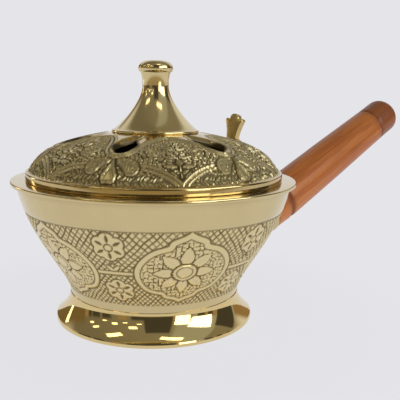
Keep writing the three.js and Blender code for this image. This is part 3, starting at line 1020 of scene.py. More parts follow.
class PalmettePattern:
    """Vents with raised rims, palmettes under them, arcs between, and a leafy ground."""

    depth: float = 0.42
    bead_row: float = 0.084
    coil_pitch: float = 0.062
    arc: Profile = [(1.0, 0.0), (0.90, 0.108), (0.76, 0.21), (0.58, 0.29), (0.36, 0.335)]
    drop: Profile = [
        (0.0, 0.49), (0.022, 0.41), (0.05, 0.33), (0.083, 0.25), (0.108, 0.185), (0.116, 0.13),
        (0.10, 0.078), (0.06, 0.048), (0.0, 0.038),
    ]
    scroll: Profile = [
        (0.025, 0.48), (0.14, 0.52), (0.28, 0.50), (0.385, 0.42), (0.425, 0.31), (0.40, 0.215),
        (0.33, 0.165), (0.25, 0.17), (0.20, 0.215), (0.165, 0.275), (0.115, 0.33), (0.06, 0.37),
    ]
    coils: list[tuple[Point, float]] = [
        ((0.40, 0.72), 0.15), ((0.58, 0.95), 0.12), ((0.30, 1.13), 0.12),
    ]
    leaves: list[tuple[Point, float, float, float]] = [
        ((0.0, 0.06), 90.0, 0.20, 0.035), ((0.015, 0.10), 48.0, 0.24, 0.036),
        ((0.0, 0.27), 90.0, 0.26, 0.075), ((0.02, 0.30), 35.0, 0.24, 0.055),
        ((0.02, 0.33), 5.0, 0.25, 0.05), ((0.0, 0.56), 90.0, 0.25, 0.06),
        ((0.02, 0.56), 45.0, 0.24, 0.055), ((0.02, 0.55), 8.0, 0.24, 0.048),
        ((0.02, 0.83), 20.0, 0.24, 0.05), ((0.0, 0.85), 90.0, 0.26, 0.065),
        ((0.02, 0.86), 55.0, 0.24, 0.05), ((0.0, 1.14), 90.0, 0.24, 0.06),
        ((0.02, 1.13), 35.0, 0.22, 0.05), ((0.34, 0.47), 150.0, 0.16, 0.04),
        ((0.52, 0.52), 75.0, 0.2, 0.045), ((0.62, 0.62), 100.0, 0.2, 0.045),
    ]

    def __init__(self, band: Band, vent: Profile, arch: Profile) -> None:
        """Keeps the shapes that the lid decides.

        Args:
            band: Flat coordinates of the dome.
            vent: Outline of the vent on the X axis, in plan.
            arch: Half of the arch between two vents, as share across and radius.
        """
        self.band = band
        self.unit = math.pi / band.repeats
        self.vent = [*vent, vent[0]]
        climbs = np.interp([radius for _, radius in arch], band.key, band.climb)
        self.arch = smooth_line([(across, float(c)) for (across, _), c in zip(arch, climbs)])

    def carve(self, angle: Array, radius: Array) -> tuple[Array, ...]:
        """Height, darkness and tooling of the relief.

        Args:
            angle: Angles in degrees.
            radius: Radii in millimetres.

        Returns:
            Heights in millimetres, darkness and tooling from 0 to 1.
        """
        u, v = self.band.flat(angle, radius)
        scale = radius * self.unit
        height = self.palmette(self.ground(u, v), u, v, scale)

        lobe = to_line(np.abs(u), v, self.arch) * scale
        beyond = within(np.abs(u), v, [*self.arch, (1.0, 3.2), (0.0, 3.2)])
        height = self.double(np.where(beyond, 0.0, height), lobe)

        turn = u * self.unit
        hole = to_line(radius * np.cos(turn), radius * np.sin(turn), self.vent)
        dished = beyond & (lobe > 1.0) & (v < 2.0)
        dish = -2.4 * (1.0 - soft_step(hole, 0.0, 3.2)) * soft_step(lobe, 1.0, 2.2)
        height = np.where(dished, dish, height)
        above_ring = soft_step(v, 0.012, 0.03)
        height = height * above_ring - 0.8 * groove(v - 0.008, 0.012)
        tooled = np.where(beyond & (lobe > 1.2), 0.1, above_ring)
        dark = np.where(dished, 0.0, np.clip(-height, 0.0, 1.0))
        # Painted shade on the vents' walls, near each opening's edge.
        return height * self.depth, np.maximum(dark, 1.0 - soft_step(hole, 0.1, 1.2)), tooled

    def palmette(self, height: Array, u: Array, v: Array, scale: Array) -> Array:
        """Lays an arc with beads under it, two scrolls and a drop over the ground.

        Args:
            height: The ground.
            u: Across, from under a vent.
            v: Along, from the dome's edge.
            scale: Millimetres of one unit.

        Returns:
            The new heights.
        """
        au = np.abs(u)
        arc = smooth_line(self.arc)
        under = within(au, v, [*arc, (0.0, 0.34), (0.0, 0.0)])
        height = np.where(under, self.fishbone(u, v), height)
        height = self.double(height, to_line(au, v, arc) * scale)

        scroll = [*smooth_line(self.scroll), self.scroll[0]]
        edge = to_line(au, v, scroll) * scale
        grain = 0.55 * soft_step(cells(u + 3.0, v + 4.0, 0.045, 7.3), 0.1, 0.5)
        dome = 0.35 * soft_step(edge, 0.1, 0.5) + (grain - 0.8) * soft_step(edge, 0.6, 1.1)
        height = np.where(within(au, v, scroll), dome, height)
        height = np.where(edge < 0.3, np.minimum(height, -1.0 + edge * 1.5), height)

        edge = inside_by(au, v, smooth_line(self.drop)) * scale
        rim = 0.75 * groove(edge - 0.5, 0.45) - 0.5 * groove(edge - 1.1, 0.25)
        stipple = -0.45 + 0.3 * np.sin(u * 120.0) * np.sin(v * 120.0)
        height = np.where(edge > 0.0, np.maximum(rim, stipple), height)
        return np.where(np.abs(edge + 0.2) < 0.25, -1.0, height)

    @staticmethod
    def double(height: Array, distance: Array) -> Array:
        """Lays two raised lines over a ground.

        Args:
            height: The ground.
            distance: Millimetres from the middle of the two lines.

        Returns:
            The new heights.
        """
        lines = 0.6 * groove(distance - 0.66, 0.5) - 0.85 * groove(distance, 0.24)
        lines = lines - groove(distance - 1.32, 0.26)
        return np.where(distance < 1.42, lines, height)

    def fishbone(self, u: Array, v: Array) -> Array:
        """Rows of short slanted beads.

        Args:
            u: Across.
            v: Along.

        Returns:
            Heights.
        """
        wave = 0.014 * np.sin(u * 23.0) + 0.01 * np.sin(u * 61.0 + v * 9.0)
        row = np.floor((v + wave) / self.bead_row)
        lean = np.where(np.mod(row, 2) == 0, 1.0, -1.0)
        phase = (u + lean * v * 0.7) / 0.062 + 0.22 * np.sin(u * 37.0 + row * 2.0)
        bead = 0.5 + 0.5 * np.cos(2 * math.pi * phase)
        part = (v + wave) / self.bead_row - row
        ends = np.clip(np.sin(math.pi * part) * 1.5, 0.0, 1.0)
        return -0.8 + (0.95 + 0.35 * np.sin(u * 19.0 + row * 4.0)) * soft_step(bead * ends, 0.2, 0.9)

    def ground(self, u: Array, v: Array) -> Array:
        """Leaves and scrolls on both sides of the line between two palmettes.

        Args:
            u: Across.
            v: Along.

        Returns:
            Heights.
        """
        x = 1.0 - np.abs(u)
        height = -0.85 + 0.95 * soft_step(cells(u * 0.9 + 5.0, v + 2.0, 0.066, 4.1), 0.06, 0.42)
        for (cx, cy), reach in self.coils:
            dx, dy = x - cx, v - cy
            r = np.hypot(dx, dy)
            coil = r / self.coil_pitch - np.arctan2(dy, dx) / (2 * math.pi)
            ridge = -0.7 + 1.1 * (0.5 + 0.5 * np.cos(2 * math.pi * coil))
            height = np.where(r < reach, ridge, height)
        for root, lean, length, width in self.leaves:
            edge = leaf(x, v, root, lean, length, width)
            height = np.where(edge > 0.0, 0.15 + 0.4 * np.clip(edge / 0.04, 0.0, 1.0), height)
            height = np.where(np.abs(edge) < 0.013, -1.0, height)
        return height


# Turned sub-assemblies


@dataclass
class Axis:
    """Where the bowl's axis stands."""

    x: float

    @classmethod
    def of_frame(cls) -> "Axis":
        """Reads it from the middle of the foot."""
        low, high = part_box("foot")
        return cls((low.x + high.x) / 2 / MM)

    def place(self, height: float) -> Matrix:
        """The place of a piece that is made about this axis and stands at a height."""
        return Matrix.Translation((self.x, 0.0, height))


@dataclass
class TurnedPiece:
    """A piece that is turned about its own axis, worked there and then set in."""

    name: ClassVar[str]
    node: ClassVar[str]
    body: ClassVar[Body]
    slot: ClassVar[Slot]
    steps: ClassVar[int]
    crease: ClassVar[float] = 32.0
    closed: ClassVar[bool] = True
    stands_at: float = 0.0

    def section(self) -> Profile:
        """Radius and height of the section's points."""
        raise NotImplementedError

    def work(self, piece: bpy.types.Object) -> None:
        """Cuts or carves the turned piece, unless it is a plain one."""

    def build(self, shop: Workshop, place: Matrix) -> None:
        """Makes the piece.

        Args:
            shop: Dresses the piece.
            place: Its place in millimetres.
        """
        piece = turned(self.name, self.section(), self.steps, self.closed)
        self.work(piece)
        piece.data.transform(Matrix.Scale(MM, 4) @ place)
        piece.data.update()
        shop.hand_over(piece, self.body, self.slot, self.node, self.crease)


@dataclass
class Foot(TurnedPiece):
    """Mirror-polished foot with an upright lip."""

    name, node, body, slot = "polished_foot", "foot", Body.BOWL, Slot.FOOT
    steps, crease = 256, 26.0
    radius: float = 34.0
    height: float = 9.6
    lip: float = 1.6
    neck: float = 29.2
    ring: float = 3.8
    rounding: float = 0.65
    web: float = 2.0
    bore: float = 2.06
    under_step: float = 4.0

    def section(self) -> Profile:
        """The foot's section, down the inside and up the outside.

        Returns:
            Its points.
        """
        under = self.height - self.web
        under_neck = self.neck - self.under_step
        hollow = self.radius - self.ring
        side = shaped((self.radius, self.lip), (self.neck, self.height), (0.42, 0.2), (0.98, 0.6), 36)
        return [
            (self.bore, self.height), (self.bore, under), (under_neck - 0.4, under),
            *shaped((under_neck, under - 0.3), (hollow, 0.9), (0.5, 0.1), (0.9, 0.6), 8),
            (hollow, 0.15), (hollow + 0.15, 0.0), (self.radius - self.rounding - 0.05, 0.0),
            *quarter(0.6, -0.5, 0.55, 5, self.radius - self.rounding)[::-1],
            (self.radius, 0.8), (self.radius, self.lip - 0.35), (self.radius - 0.1, self.lip - 0.1),
            *side[1:-1],
            (self.neck, self.height - 0.06), (self.neck - 0.1, self.height),
        ]


@dataclass(kw_only=True)
class Bowl(TurnedPiece):
    """Tapered bowl with a plain band, an engraved band and a thin wide rim."""

    name, node, body, slot = "engraved_bowl", "bowl", Body.BOWL, Slot.BOWL
    steps, crease = 792, 40.0
    neck: float = 29.0
    foot_height: float
    height: float = 48.2
    rim: float = 48.0
    rim_thickness: float = 1.3
    overhang: float = 1.8
    wall: float = 2.2
    floor: float = 2.4
    corner: float = 2.6
    mouth: float = 41.4
    mouth_depth: float = 3.4
    bore: float = 2.06
    row: float = 0.363
    medallion_height: float = 24.4
    # Strength of the painted shade under the rim.
    rim_shadow: float = 0.35

    def __post_init__(self) -> None:
        """Lays out the outer wall and the engraved band on it."""
        foot, top = (self.neck, self.foot_height), (self.rim - self.overhang, self.under_rim)
        self.line = shaped(foot, top, (0.03, 0.2), (0.79, 0.51), 60)
        self.pattern = MedallionPattern()
        self.band = Band(self.line, self.medallion_height, round(180.0 / self.pattern.unit))
        ends = (self.pattern.bottom - 0.05, self.pattern.top + 0.05)
        self.low, self.high = (float(h) for h in np.interp(ends, self.band.climb, self.band.key))

    @property
    def under_rim(self) -> float:
        """Height of the rim's underside."""
        return self.height - self.rim_thickness

    def radius_at(self, height: Array | float) -> Array | float:
        """Radius of the outer wall at a height."""
        radii, heights = zip(*self.line)
        return np.interp(height, heights, radii)

    def section(self) -> Profile:
        """The bowl's section, up the outside and down the inside.

        Returns:
            Its points, which lie close together where it is engraved.
        """
        line, under_rim = self.line, self.under_rim
        mouth_foot = self.height - self.mouth_depth
        floor_top = self.foot_height + self.floor
        corner = floor_top + self.corner
        inner = [(r - self.wall, z) for r, z in line[::5] if corner < z < mouth_foot - self.wall]
        inside = float(self.radius_at(corner)) - self.wall
        return [
            (self.bore, self.foot_height), *[p for p in line[::4] if p[1] <= self.low - 0.2],
            *evenly([p for p in line if self.low < p[1] < self.high], self.row),
            *[p for p in line[::4] if p[1] >= self.high + 0.2],
            (self.rim - self.overhang + 0.05, under_rim - 0.02), (self.rim - 0.45, under_rim),
            *quarter(0.45, -0.4, under_rim + 0.4, 4, self.rim - 0.45)[::-1][1:],
            *quarter(0.4, 0.4, self.height - 0.4, 4, self.rim - 0.4),
            (self.mouth + 0.15, self.height), (self.mouth, self.height - 0.15),
            (self.mouth, mouth_foot + 0.1), (self.mouth - 0.1, mouth_foot),
            *inner[::-1], *quarter(3.0, -2.4, floor_top + 2.4, 6, inside - 3.0),
            (self.bore, floor_top),
        ]

    def work(self, piece: bpy.types.Object) -> None:
        """Engraves the bowl."""
        carve(piece, self.engrave)

    def engrave(self, angle: Array, radius: Array, height: Array) -> tuple[Array, ...]:
        """Engraves the outer wall and paints shade into the corner under the rim.

        Args:
            angle: Angles in degrees.
            radius: Radii in millimetres.
            height: Heights in millimetres.

        Returns:
            Moves out and up, darkness and tooling.
        """
        outside = (height > self.low) & (height < self.high)
        outside &= np.abs(radius - self.radius_at(height)) < 0.4
        v = self.band.flat(angle, height)[1]
        depth, dark = self.pattern.carve(angle, v)
        tooled = outside & (v > self.pattern.bottom) & (v < self.pattern.top)
        # Painted shade: a dark band on the rim's underside and the top of the wall below it.
        below_top = self.height - height
        shaded = (below_top > 1.2) & (below_top < self.rim_thickness + 0.6)
        shaded &= radius > self.mouth + 2.0
        dark = np.where(outside, dark, self.rim_shadow * shaded)
        moves = self.band.push(height, np.where(outside, depth, 0.0))
        return *moves, dark, tooled.astype(float)


@dataclass
class Lid(TurnedPiece):
    """Pierced dome on a polished ring."""

    name, node, body, slot = "pierced_dome", "lid_dome", Body.LID, Slot.LID
    steps, crease = 904, 40.0
    ring: float = 43.2
    ring_height: float = 2.8
    ring_step: float = 0.9
    ring_foot: float = 0.03
    rise: float = 12.6
    seat: float = 15.0
    wall: float = 1.6
    skirt: float = 40.9
    skirt_wall: float = 1.2
    skirt_depth: float = 3.0
    bore: float = 2.06
    vents: int = 6
    vent_inner: float = 18.2
    vent_outer: float = 31.0
    vent_round: float = 3.7
    vent_phase: float = 32.7
    arch: tuple[Point, ...] = (
        (0.0, 33.8), (0.10, 33.4), (0.20, 32.0), (0.275, 29.6), (0.33, 27.0), (0.42, 24.2),
        (0.56, 21.6), (0.75, 19.6), (0.88, 18.8), (1.0, 18.5),
    )
    row: float = 0.4
    inner_row: float = 2.2
    # How much darker the inside of the dome is made.
    inside_darkening: float = 0.9

    def __post_init__(self) -> None:
        """Lays out the dome and the relief on it."""
        foot, seat = (self.ring - self.ring_step, self.ring_height), (self.seat, self.seat_height)
        self.line = shaped(foot, seat, (0.16, 0.4), (0.12, 0.68), 60)
        self.band = Band(self.line, foot[0], self.vents, self.vent_phase, by_height=False)
        self.pattern = PalmettePattern(self.band, self.vent_outline(), self.arch)

    @property
    def seat_height(self) -> float:
        """Height of the finial's seat."""
        return self.ring_height + self.rise

    def vent_outline(self, count: int = 14) -> Profile:
        """The teardrop of a vent that lies along X.

        Args:
            count: Stretches along each side.

        Returns:
            Its points, anticlockwise.
        """
        tip, wide, at = self.vent_inner, self.vent_round, self.vent_outer - self.vent_round
        side = bezier((tip, 0.0), (tip + 3, 1.2), (at - 3.6, wide), (at, wide), count)
        turns = (math.pi * i / (2 * count) for i in range(1, 2 * count))
        end = [(at + wide * math.sin(a), wide * math.cos(a)) for a in turns]
        lower = [(x, -y) for x, y in side[::-1]]
        return [*side[1:], *end, *lower[:-1], (tip, 0.0)][::-1]

    def section(self) -> Profile:
        """The lid's section, down the inside and up the outside.

        Returns:
            Its points.
        """
        inside, low = self.skirt - self.skirt_wall, -self.skirt_depth
        under = [p for p in self.inset(evenly(self.line, self.inner_row)) if p[0] < inside - 0.2]
        return [
            (self.bore, self.seat_height - self.wall), *under[::-1], (inside, self.ring_height - 0.2),
            (inside, low + 0.15), (inside + 0.15, low), (self.skirt - 0.3, low),
            (self.skirt, low + 0.3), (self.skirt, self.ring_foot), (self.ring - 0.35, self.ring_foot),
            *quarter(0.35, -0.4, 0.42, 4, self.ring - 0.35)[::-1][1:],
            (self.ring + 0.02, self.ring_height * 0.5), (self.ring, self.ring_height - 0.75),
            *quarter(0.5, 0.55, self.ring_height - 0.6, 5, self.ring - 0.5)[1:],
            *evenly(self.line, self.row)[1:], (self.bore, self.seat_height),
        ]

    def inset(self, line: Profile) -> Profile:
        """The inside of the wall, square to its outside.

        Args:
            line: Points of the outside.

        Returns:
            Points of the inside.
        """
        slopes = headings(np.array(line)).tolist()
        return [(x - dy * self.wall, y + dx * self.wall) for (x, y), (dx, dy) in zip(line, slopes)]

    def work(self, piece: bpy.types.Object) -> None:
        """Cuts the vents and embosses the dome."""
        self.pierce(piece)
        carve(piece, self.emboss)

    def emboss(self, angle: Array, radius: Array, height: Array) -> tuple[Array, ...]:
        """Embosses the outside of the dome and darkens the inside.

        Args:
            angle: Angles in degrees.
            radius: Radii in millimetres.
            height: Heights in millimetres.

        Returns:
            Moves out and up, darkness and tooling.
        """
        radii, heights = zip(*self.line[::-1])
        below = np.interp(radius, radii, heights) - height
        outside = (np.abs(below) < 0.5) & (radius < radii[-1] - 0.01) & (radius > self.seat + 0.5)
        depth, dark, tooled = self.pattern.carve(angle, radius)
        # The inside of the dome, under its wall, is made darker.
        inside = (below > 0.9) & (radius < self.skirt - 1.0)
        moves = self.band.push(radius, np.where(outside, depth, 0.0))
        return *moves, np.where(outside, dark, inside * self.inside_darkening), np.where(outside, tooled, 0.0)

    def pierce(self, dome: bpy.types.Object) -> None:
        """Cuts the vents.

        Args:
            dome: The whole dome, about its own axis.
        """
        bm = bmesh.new()
        for i in range(self.vents):
            turn = Matrix.Rotation(math.radians(self.vent_phase + i * 360 / self.vents), 3, "Z")
            ring = [turn @ Vector((x, y, self.ring_height + 1.0)) for x, y in self.vent_outline()]
            face = bm.faces.new([bm.verts.new(point) for point in ring])
            lifted = new_points(bmesh.ops.extrude_face_region(bm, geom=[face])["geom"])
            bmesh.ops.translate(bm, verts=lifted, vec=(0, 0, self.rise + 4))
        bmesh.ops.recalc_face_normals(bm, faces=bm.faces)
        cutter = finished("vent_cutter", bm)
        cut = dome.modifiers.new("vents", "BOOLEAN")
        cut.operation, cut.solver, cut.object = "DIFFERENCE", "MANIFOLD", cutter
        bpy.context.view_layer.update()
        shape = dome.evaluated_get(bpy.context.evaluated_depsgraph_get())
        mesh = bpy.data.meshes.new_from_object(shape)
        dome.modifiers.clear()
        old, dome.data = dome.data, mesh
        bpy.data.meshes.remove(old)
        bpy.data.objects.remove(cutter)


@dataclass
class Finial(TurnedPiece):
    """Polished trumpet with a small cap."""

    name, node, body, slot = "trumpet_finial", "finial", Body.LID, Slot.FINIAL
    steps, crease, closed = 192, 30.0, False
    base: float = 14.8
    edge: float = 1.0
    height: float = 23.9
    neck: float = 4.45
    neck_height: float = 16.1
    knob: float = 5.85
    knob_height: float = 21.2
    knob_edge: float = 1.2
    ledge: float = 0.7
    bore: float = 2.06
    bore_depth: float = 11.0
    clearance: float = 0.02
    rounding: float = 0.35
    fullness: float = 0.6

    def section(self) -> Profile:
        """The finial's section, from the bore's end, under the base and up to the knob's top.

        Returns:
            Its points.
        """
        under_knob = self.knob_height - self.knob_edge
        throat = self.knob - self.ledge
        neck = (self.neck, self.neck_height)
        rounded = self.base - self.rounding
        return [
            (0.0, self.bore_depth), (self.bore, self.bore_depth), (self.bore, self.clearance),
            (self.base - 0.15, self.clearance),
            *quarter(self.rounding, -0.4, 0.42, 4, rounded)[::-1][1:],
            *quarter(self.rounding, 0.4, self.edge - 0.42, 4, rounded),
            *shaped((self.base - 0.5, self.edge), neck, (0.1, 0.0), (1.06, 0.62), 44),
            *shaped(neck, (throat, under_knob), (0.0, 0.4), (0.55, 0.85), 16)[1:],
            (throat + 0.05, under_knob + 0.04), (self.knob - self.ledge / 2, under_knob + 0.1),
            (self.knob - 0.16, under_knob + 0.4), (self.knob - 0.04, under_knob + 0.85),
            *self.cushion(),
        ]

    def cushion(self, count: int = 18) -> Profile:
        """The knob from its widest line up to its middle.

        Args:
            count: Stretches.

        Returns:
            Its points.
        """
        rise = self.height - self.knob_height
        turns = [math.pi / 2 * i / count for i in range(count)]
        side = [
            (self.knob * math.cos(a) ** self.fullness, self.knob_height + rise * math.sin(a))
            for a in turns
        ]
        return [*side, (0.0, self.height)]


@dataclass
class Handle(TurnedPiece):
    """Sizes that the handle's ferrule and wooden grip share, measured along the handle."""

    body, steps = Body.BOWL, 128
    root_height: float = 19.6
    slope: float = HANDLE_SLOPE
    boss_end: float = 15.0
    gap: float = 0.3
    back: float = 7.4
    back_wall: float = 1.8
    ferrule: float = 8.7
    wall: float = 0.8
    ferrule_length: float = 9.0
    stud: float = 3.06

    def __post_init__(self) -> None:
        """Works out where the ferrule and the wood start."""
        self.start = self.boss_end + self.gap
        self.mouth = self.start + self.ferrule_length
        self.wood = self.start + self.back_wall + self.gap

    def place(self, axis: Axis, bowl: Bowl) -> Matrix:
        """From the handle's own axis along Z to its place.

        Args:
            axis: The bowl's axis.
            bowl: The bowl that it is fixed to.

        Returns:
            The place, in millimetres.
        """
        root = float(bowl.radius_at(self.root_height))
        turn = Matrix.Rotation(math.radians(90.0 - self.slope), 4, "Y")
        return Matrix.Translation((axis.x + root, 0.0, self.root_height)) @ turn


@dataclass
class Ferrule(Handle):
    """Turned brass ferrule over the root of the wood."""

    name, node, slot = "handle_ferrule_shell", "handle_ferrule", Slot.FITTING

    def section(self) -> Profile:
        """The ferrule's section, along the outside and back along the inside.

        Returns:
            Its points.
        """
        start, mouth, bore = self.start, self.mouth, self.ferrule - self.wall
        return [
            (self.stud, start), (self.back - 0.6, start), (self.back - 0.15, start + 0.15),
            (self.back, start + 0.6), (self.ferrule - 0.32, mouth - 2.0),
            (self.ferrule - 0.1, mouth - 1.85), (self.ferrule, mouth - 1.5),
            (self.ferrule, mouth - 0.3), (self.ferrule - 0.25, mouth), (bore + 0.1, mouth),
            (bore, mouth - 0.1), (self.back - self.wall, start + self.back_wall),
            (self.stud, start + self.back_wall),
        ]


@dataclass
class Grip(Handle):
    """Turned wooden grip with a groove near its root and a rounded end past a shoulder."""

    name, node, slot = "turned_grip", "handle_grip", Slot.WOOD
    crease, closed = 60.0, False
    collar: float = 8.5
    near: float = 9.0
    far: float = 8.05
    groove_at: float = 16.0
    groove_depth: float = 1.0
    shoulder_at: float = 86.0
    length: float = 102.4
    end_length: float = 5.5
    stud_in_wood: float = 32.0

    def section(self) -> Profile:
        """The wood's section, from the bottom of the stud's bore to the rounded end.

        Returns:
            Its points.
        """
        ring, shoulder = self.wood + self.groove_at, self.wood + self.shoulder_at
        tip, bore_end = self.wood + self.length, self.wood + self.stud_in_wood + 1
        collar = self.mouth + self.gap
        tenon = self.ferrule - self.wall - self.gap
        cap = self.far - 0.1
        middle = ((self.near + self.far) / 2 + 0.15, (ring + shoulder) / 2)
        return [
            (0.0, bore_end), (self.stud, bore_end), (self.stud, self.wood),
            (self.back - self.wall - 0.25, self.wood), (tenon, collar - 0.4), (tenon, collar),
            (self.collar - 0.25, collar + 0.05), (self.collar, collar + 0.35),
            *evenly([(self.collar + 0.02, collar + 0.6), (self.near - 0.2, ring - 2.2)], 1.0),
            *[
                (self.near - 0.12 - self.groove_depth * math.cos(math.pi / 2 * t) ** 2, ring + 1.45 * t)
                for t in np.linspace(-1.0, 1.0, 15)
            ],
            (self.near, ring + 2.2),
            *evenly([(self.near, ring + 3.0), middle, (self.far, shoulder - 1.2)], 3.0),
            (self.far, shoulder - 0.7), (self.far - 0.3, shoulder - 0.35), (self.far - 0.6, shoulder),
            (self.far - 0.45, shoulder + 0.35), (cap - 0.05, shoulder + 0.9), (cap, shoulder + 1.6),
            *evenly([(cap, shoulder + 2.2), (cap, tip - 9.0)], 2.0),
            *quarter(cap, self.end_length, tip - self.end_length, 16)[:-1], (0.0, tip),
        ]

    def work(self, piece: bpy.types.Object) -> None:
        """Paints shade into the grip's groove and shoulder and darkens its end."""
        carve(piece, self.darken_grip)

    def darken_grip(self, angle: Array, radius: Array, height: Array) -> tuple[Array, ...]:
        """Paints shade into the groove and the shoulder line and, less strongly, darkens the rounded
        end.

        Args:
            angle: Angles in degrees; not used.
            radius: Radii in millimetres; not used.
            height: Places along the handle in millimetres.

        Returns:
            No moves, darkness, and no tooling.
        """
        along = height - self.wood
        past = along - self.shoulder_at
        # Painted shade in the groove and the shoulder's notch; past the shoulder the end is simply made
        # darker.
        dark = np.maximum(0.6 * groove(along - self.groove_at, 2.6), 0.8 * groove(past, 1.6))
        none = np.zeros_like(height)
        return none, none, np.maximum(dark, 0.62 * soft_step(past, -5.0, 2.0)), none


# Cast and bent pieces


@dataclass(frozen=True)
class SoftEdge:
    """How a piece of the frame is smoothed where it is taken over."""

    node: str
    body: Body
    slot: Slot
    width: float
    crease: float = 35.0
    name: str = ""
    flat: ClassVar[float] = 0.6
    sharp: ClassVar[float] = 34.0

    def build(self, shop: Workshop, node: bpy.types.Object) -> None:
        """Copies a node with its flat faces joined and its edges bevelled.

        Args:
            shop: Dresses the piece.
            node: The frame's node.
        """
        bm = bmesh.new()
        bm.from_mesh(node.data)
        bmesh.ops.remove_doubles(bm, verts=bm.verts, dist=1e-6)
        flat = math.radians(self.flat)
        bmesh.ops.dissolve_limit(bm, angle_limit=flat, verts=bm.verts, edges=bm.edges)
        sharp = [
            e for e in bm.edges
            if len(e.link_faces) == 2 and math.degrees(e.calc_face_angle(0.0)) > self.sharp
        ]
        bmesh.ops.bevel(
            bm, geom=sharp, offset=self.width * MM, offset_type="OFFSET", segments=2, profile=0.5,
            affect="EDGES", clamp_overlap=True, material=-1,
        )
        piece = finished(self.name or f"eased_{self.node}", bm)
        shop.hand_over(piece, self.body, self.slot, self.node, self.crease)


@dataclass
class Fittings:
    """Bracket, hinge, lift, fasteners and grate: the frame's own shapes, the larger ones with eased
    edges.
    """

    eased: tuple[SoftEdge, ...] = (
        SoftEdge("handle_bracket", Body.BOWL, Slot.FITTING, 0.35),
        SoftEdge("hinge_pin", Body.BOWL, Slot.SMALL, 0.2),
        SoftEdge("lid_strap", Body.LID, Slot.FITTING, 0.25),
        SoftEdge("charcoal_grate", Body.GRATE, Slot.GRATE, 0.2),
        SoftEdge("thumb_lift", Body.LID, Slot.LIFT, 0.55, 50.0, "three_lobed_lift"),
    )
    brass: tuple[str, ...] = (
        "bracket_rivet_1", "bracket_rivet_2", "bracket_rivet_3", "bracket_rivet_4",
        "strap_rivet_1", "strap_rivet_2", "lift_rivet", "foot_screw", "foot_washer", "foot_nut",
        "finial_washer", "finial_nut",
    )
    steel: tuple[str, ...] = ("finial_stud", "handle_stud")

    def build(self, shop: Workshop, nodes: dict[str, bpy.types.Object]) -> None:
        """Eases the edges of the larger fittings and dresses the small ones.

        Args:
            shop: Dresses the pieces.
            nodes: The frame's nodes.
        """
        for fitting in self.eased:
            fitting.build(shop, nodes[fitting.node])
        for names, slot in ((self.brass, Slot.SMALL), (self.steel, Slot.STUD)):
            for name in names:
                shop.dress(nodes[name], slot)


# Stage


@dataclass
class Camera:
    """The photograph's camera, placed by bearing and distance from the bowl's axis."""

    bearing: float = -128.0
    distance: float = 212.67
    height: float = 77.50
    yaw: float = 4.178
    pitch: float = 9.908
    roll: float = -0.954
    focal_pixels: float = 622.26
    frame_pixels: float = 400.0
    sensor: float = 36.0

    def build(self, axis: Axis) -> None:
        """Makes the scene's camera.

        Args:
            axis: The bowl's axis.
        """
        yaw, pitch, roll = (math.radians(a) for a in (self.yaw, self.pitch, self.roll))
        ahead = Vector((
            math.sin(yaw) * math.cos(pitch), math.cos(yaw) * math.cos(pitch), -math.sin(pitch)
        ))
        level = Vector((math.cos(yaw), -math.sin(yaw), 0.0))
        down = ahead.cross(level)
        right = math.cos(roll) * level + math.sin(roll) * down
        below = -math.sin(roll) * level + math.cos(roll) * down
        turn = Matrix.Rotation(math.radians(self.bearing + 90.0), 3, "Z")
        columns = [turn @ right, turn @ -below, turn @ -ahead]
        matrix = Matrix([[c[i] for c in columns] for i in range(3)]).to_4x4()
        spot = turn @ Vector((0.0, -self.distance, self.height))
        matrix.translation = (spot + Vector((axis.x, 0.0, 0.0))) * MM
        data = bpy.data.cameras.new("photo_camera")
        data.sensor_width = self.sensor
        data.lens = self.focal_pixels / self.frame_pixels * self.sensor
        data.clip_start, data.clip_end = 0.01, 20.0
        camera = bpy.data.objects.new("photo_camera", data)
        camera.matrix_world = matrix
        bpy.context.scene.collection.objects.link(camera)
        bpy.context.scene.camera = camera


@dataclass(frozen=True)
class Lamp:
    """A soft rectangular lamp, aimed at the bowl; its bearing is taken from the camera's."""

    bearing: float
    elevation: float
    width: float
    height: float
    radiance: float = 3.6
    colour: Colour = (1.0, 0.88, 0.6)
    distance: float = 1.0

    def build(self, name: str, centre: Vector, camera_bearing: float) -> None:
        """Makes the lamp.

        Args:
            name: Its name.
            centre: What it is aimed at.
            camera_bearing: The camera's bearing in degrees.
        """
        data = bpy.data.lights.new(name, "AREA")
        data.shape, data.size, data.size_y = "RECTANGLE", self.width, self.height
        data.energy = self.radiance * math.pi * self.width * self.height
        data.color = self.colour
        bearing, elevation = math.radians(camera_bearing + self.bearing), math.radians(self.elevation)
        away = Vector((
            math.cos(bearing) * math.cos(elevation), math.sin(bearing) * math.cos(elevation),
            math.sin(elevation),
        ))
        light = bpy.data.objects.new(name, data)
        turn = (-away).to_track_quat("-Z", "Y").to_matrix().to_4x4()
        light.matrix_world = Matrix.Translation(centre + away * self.distance) @ turn
        bpy.context.scene.collection.objects.link(light)


@dataclass(frozen=True)
class Patch:
    """An upright shape in the room, between two bearings from the camera's."""

    low: float
    high: float
    fade: Point
    colour: Colour
    edge: ClassVar[float] = 0.02

    def lay(self, graph: Graph, colour: Term, around: Term, height: Term) -> Term:
        """Lays the shape over the world's colour.

        Args:
            graph: The world's node tree.
            colour: The world's colour.
            around: Bearings in radians.
            height: Heights, 1 straight overhead.

        Returns:
            The new colour.
        """
        low, high = math.radians(self.low), math.radians(self.high)
        share = around.ramp(low - self.edge, low + self.edge)
        share = share * (1.0 - around.ramp(high - self.edge, high + self.edge))
        return graph.mix(share * (1.0 - height.ramp(*self.fade)), colour, self.colour)


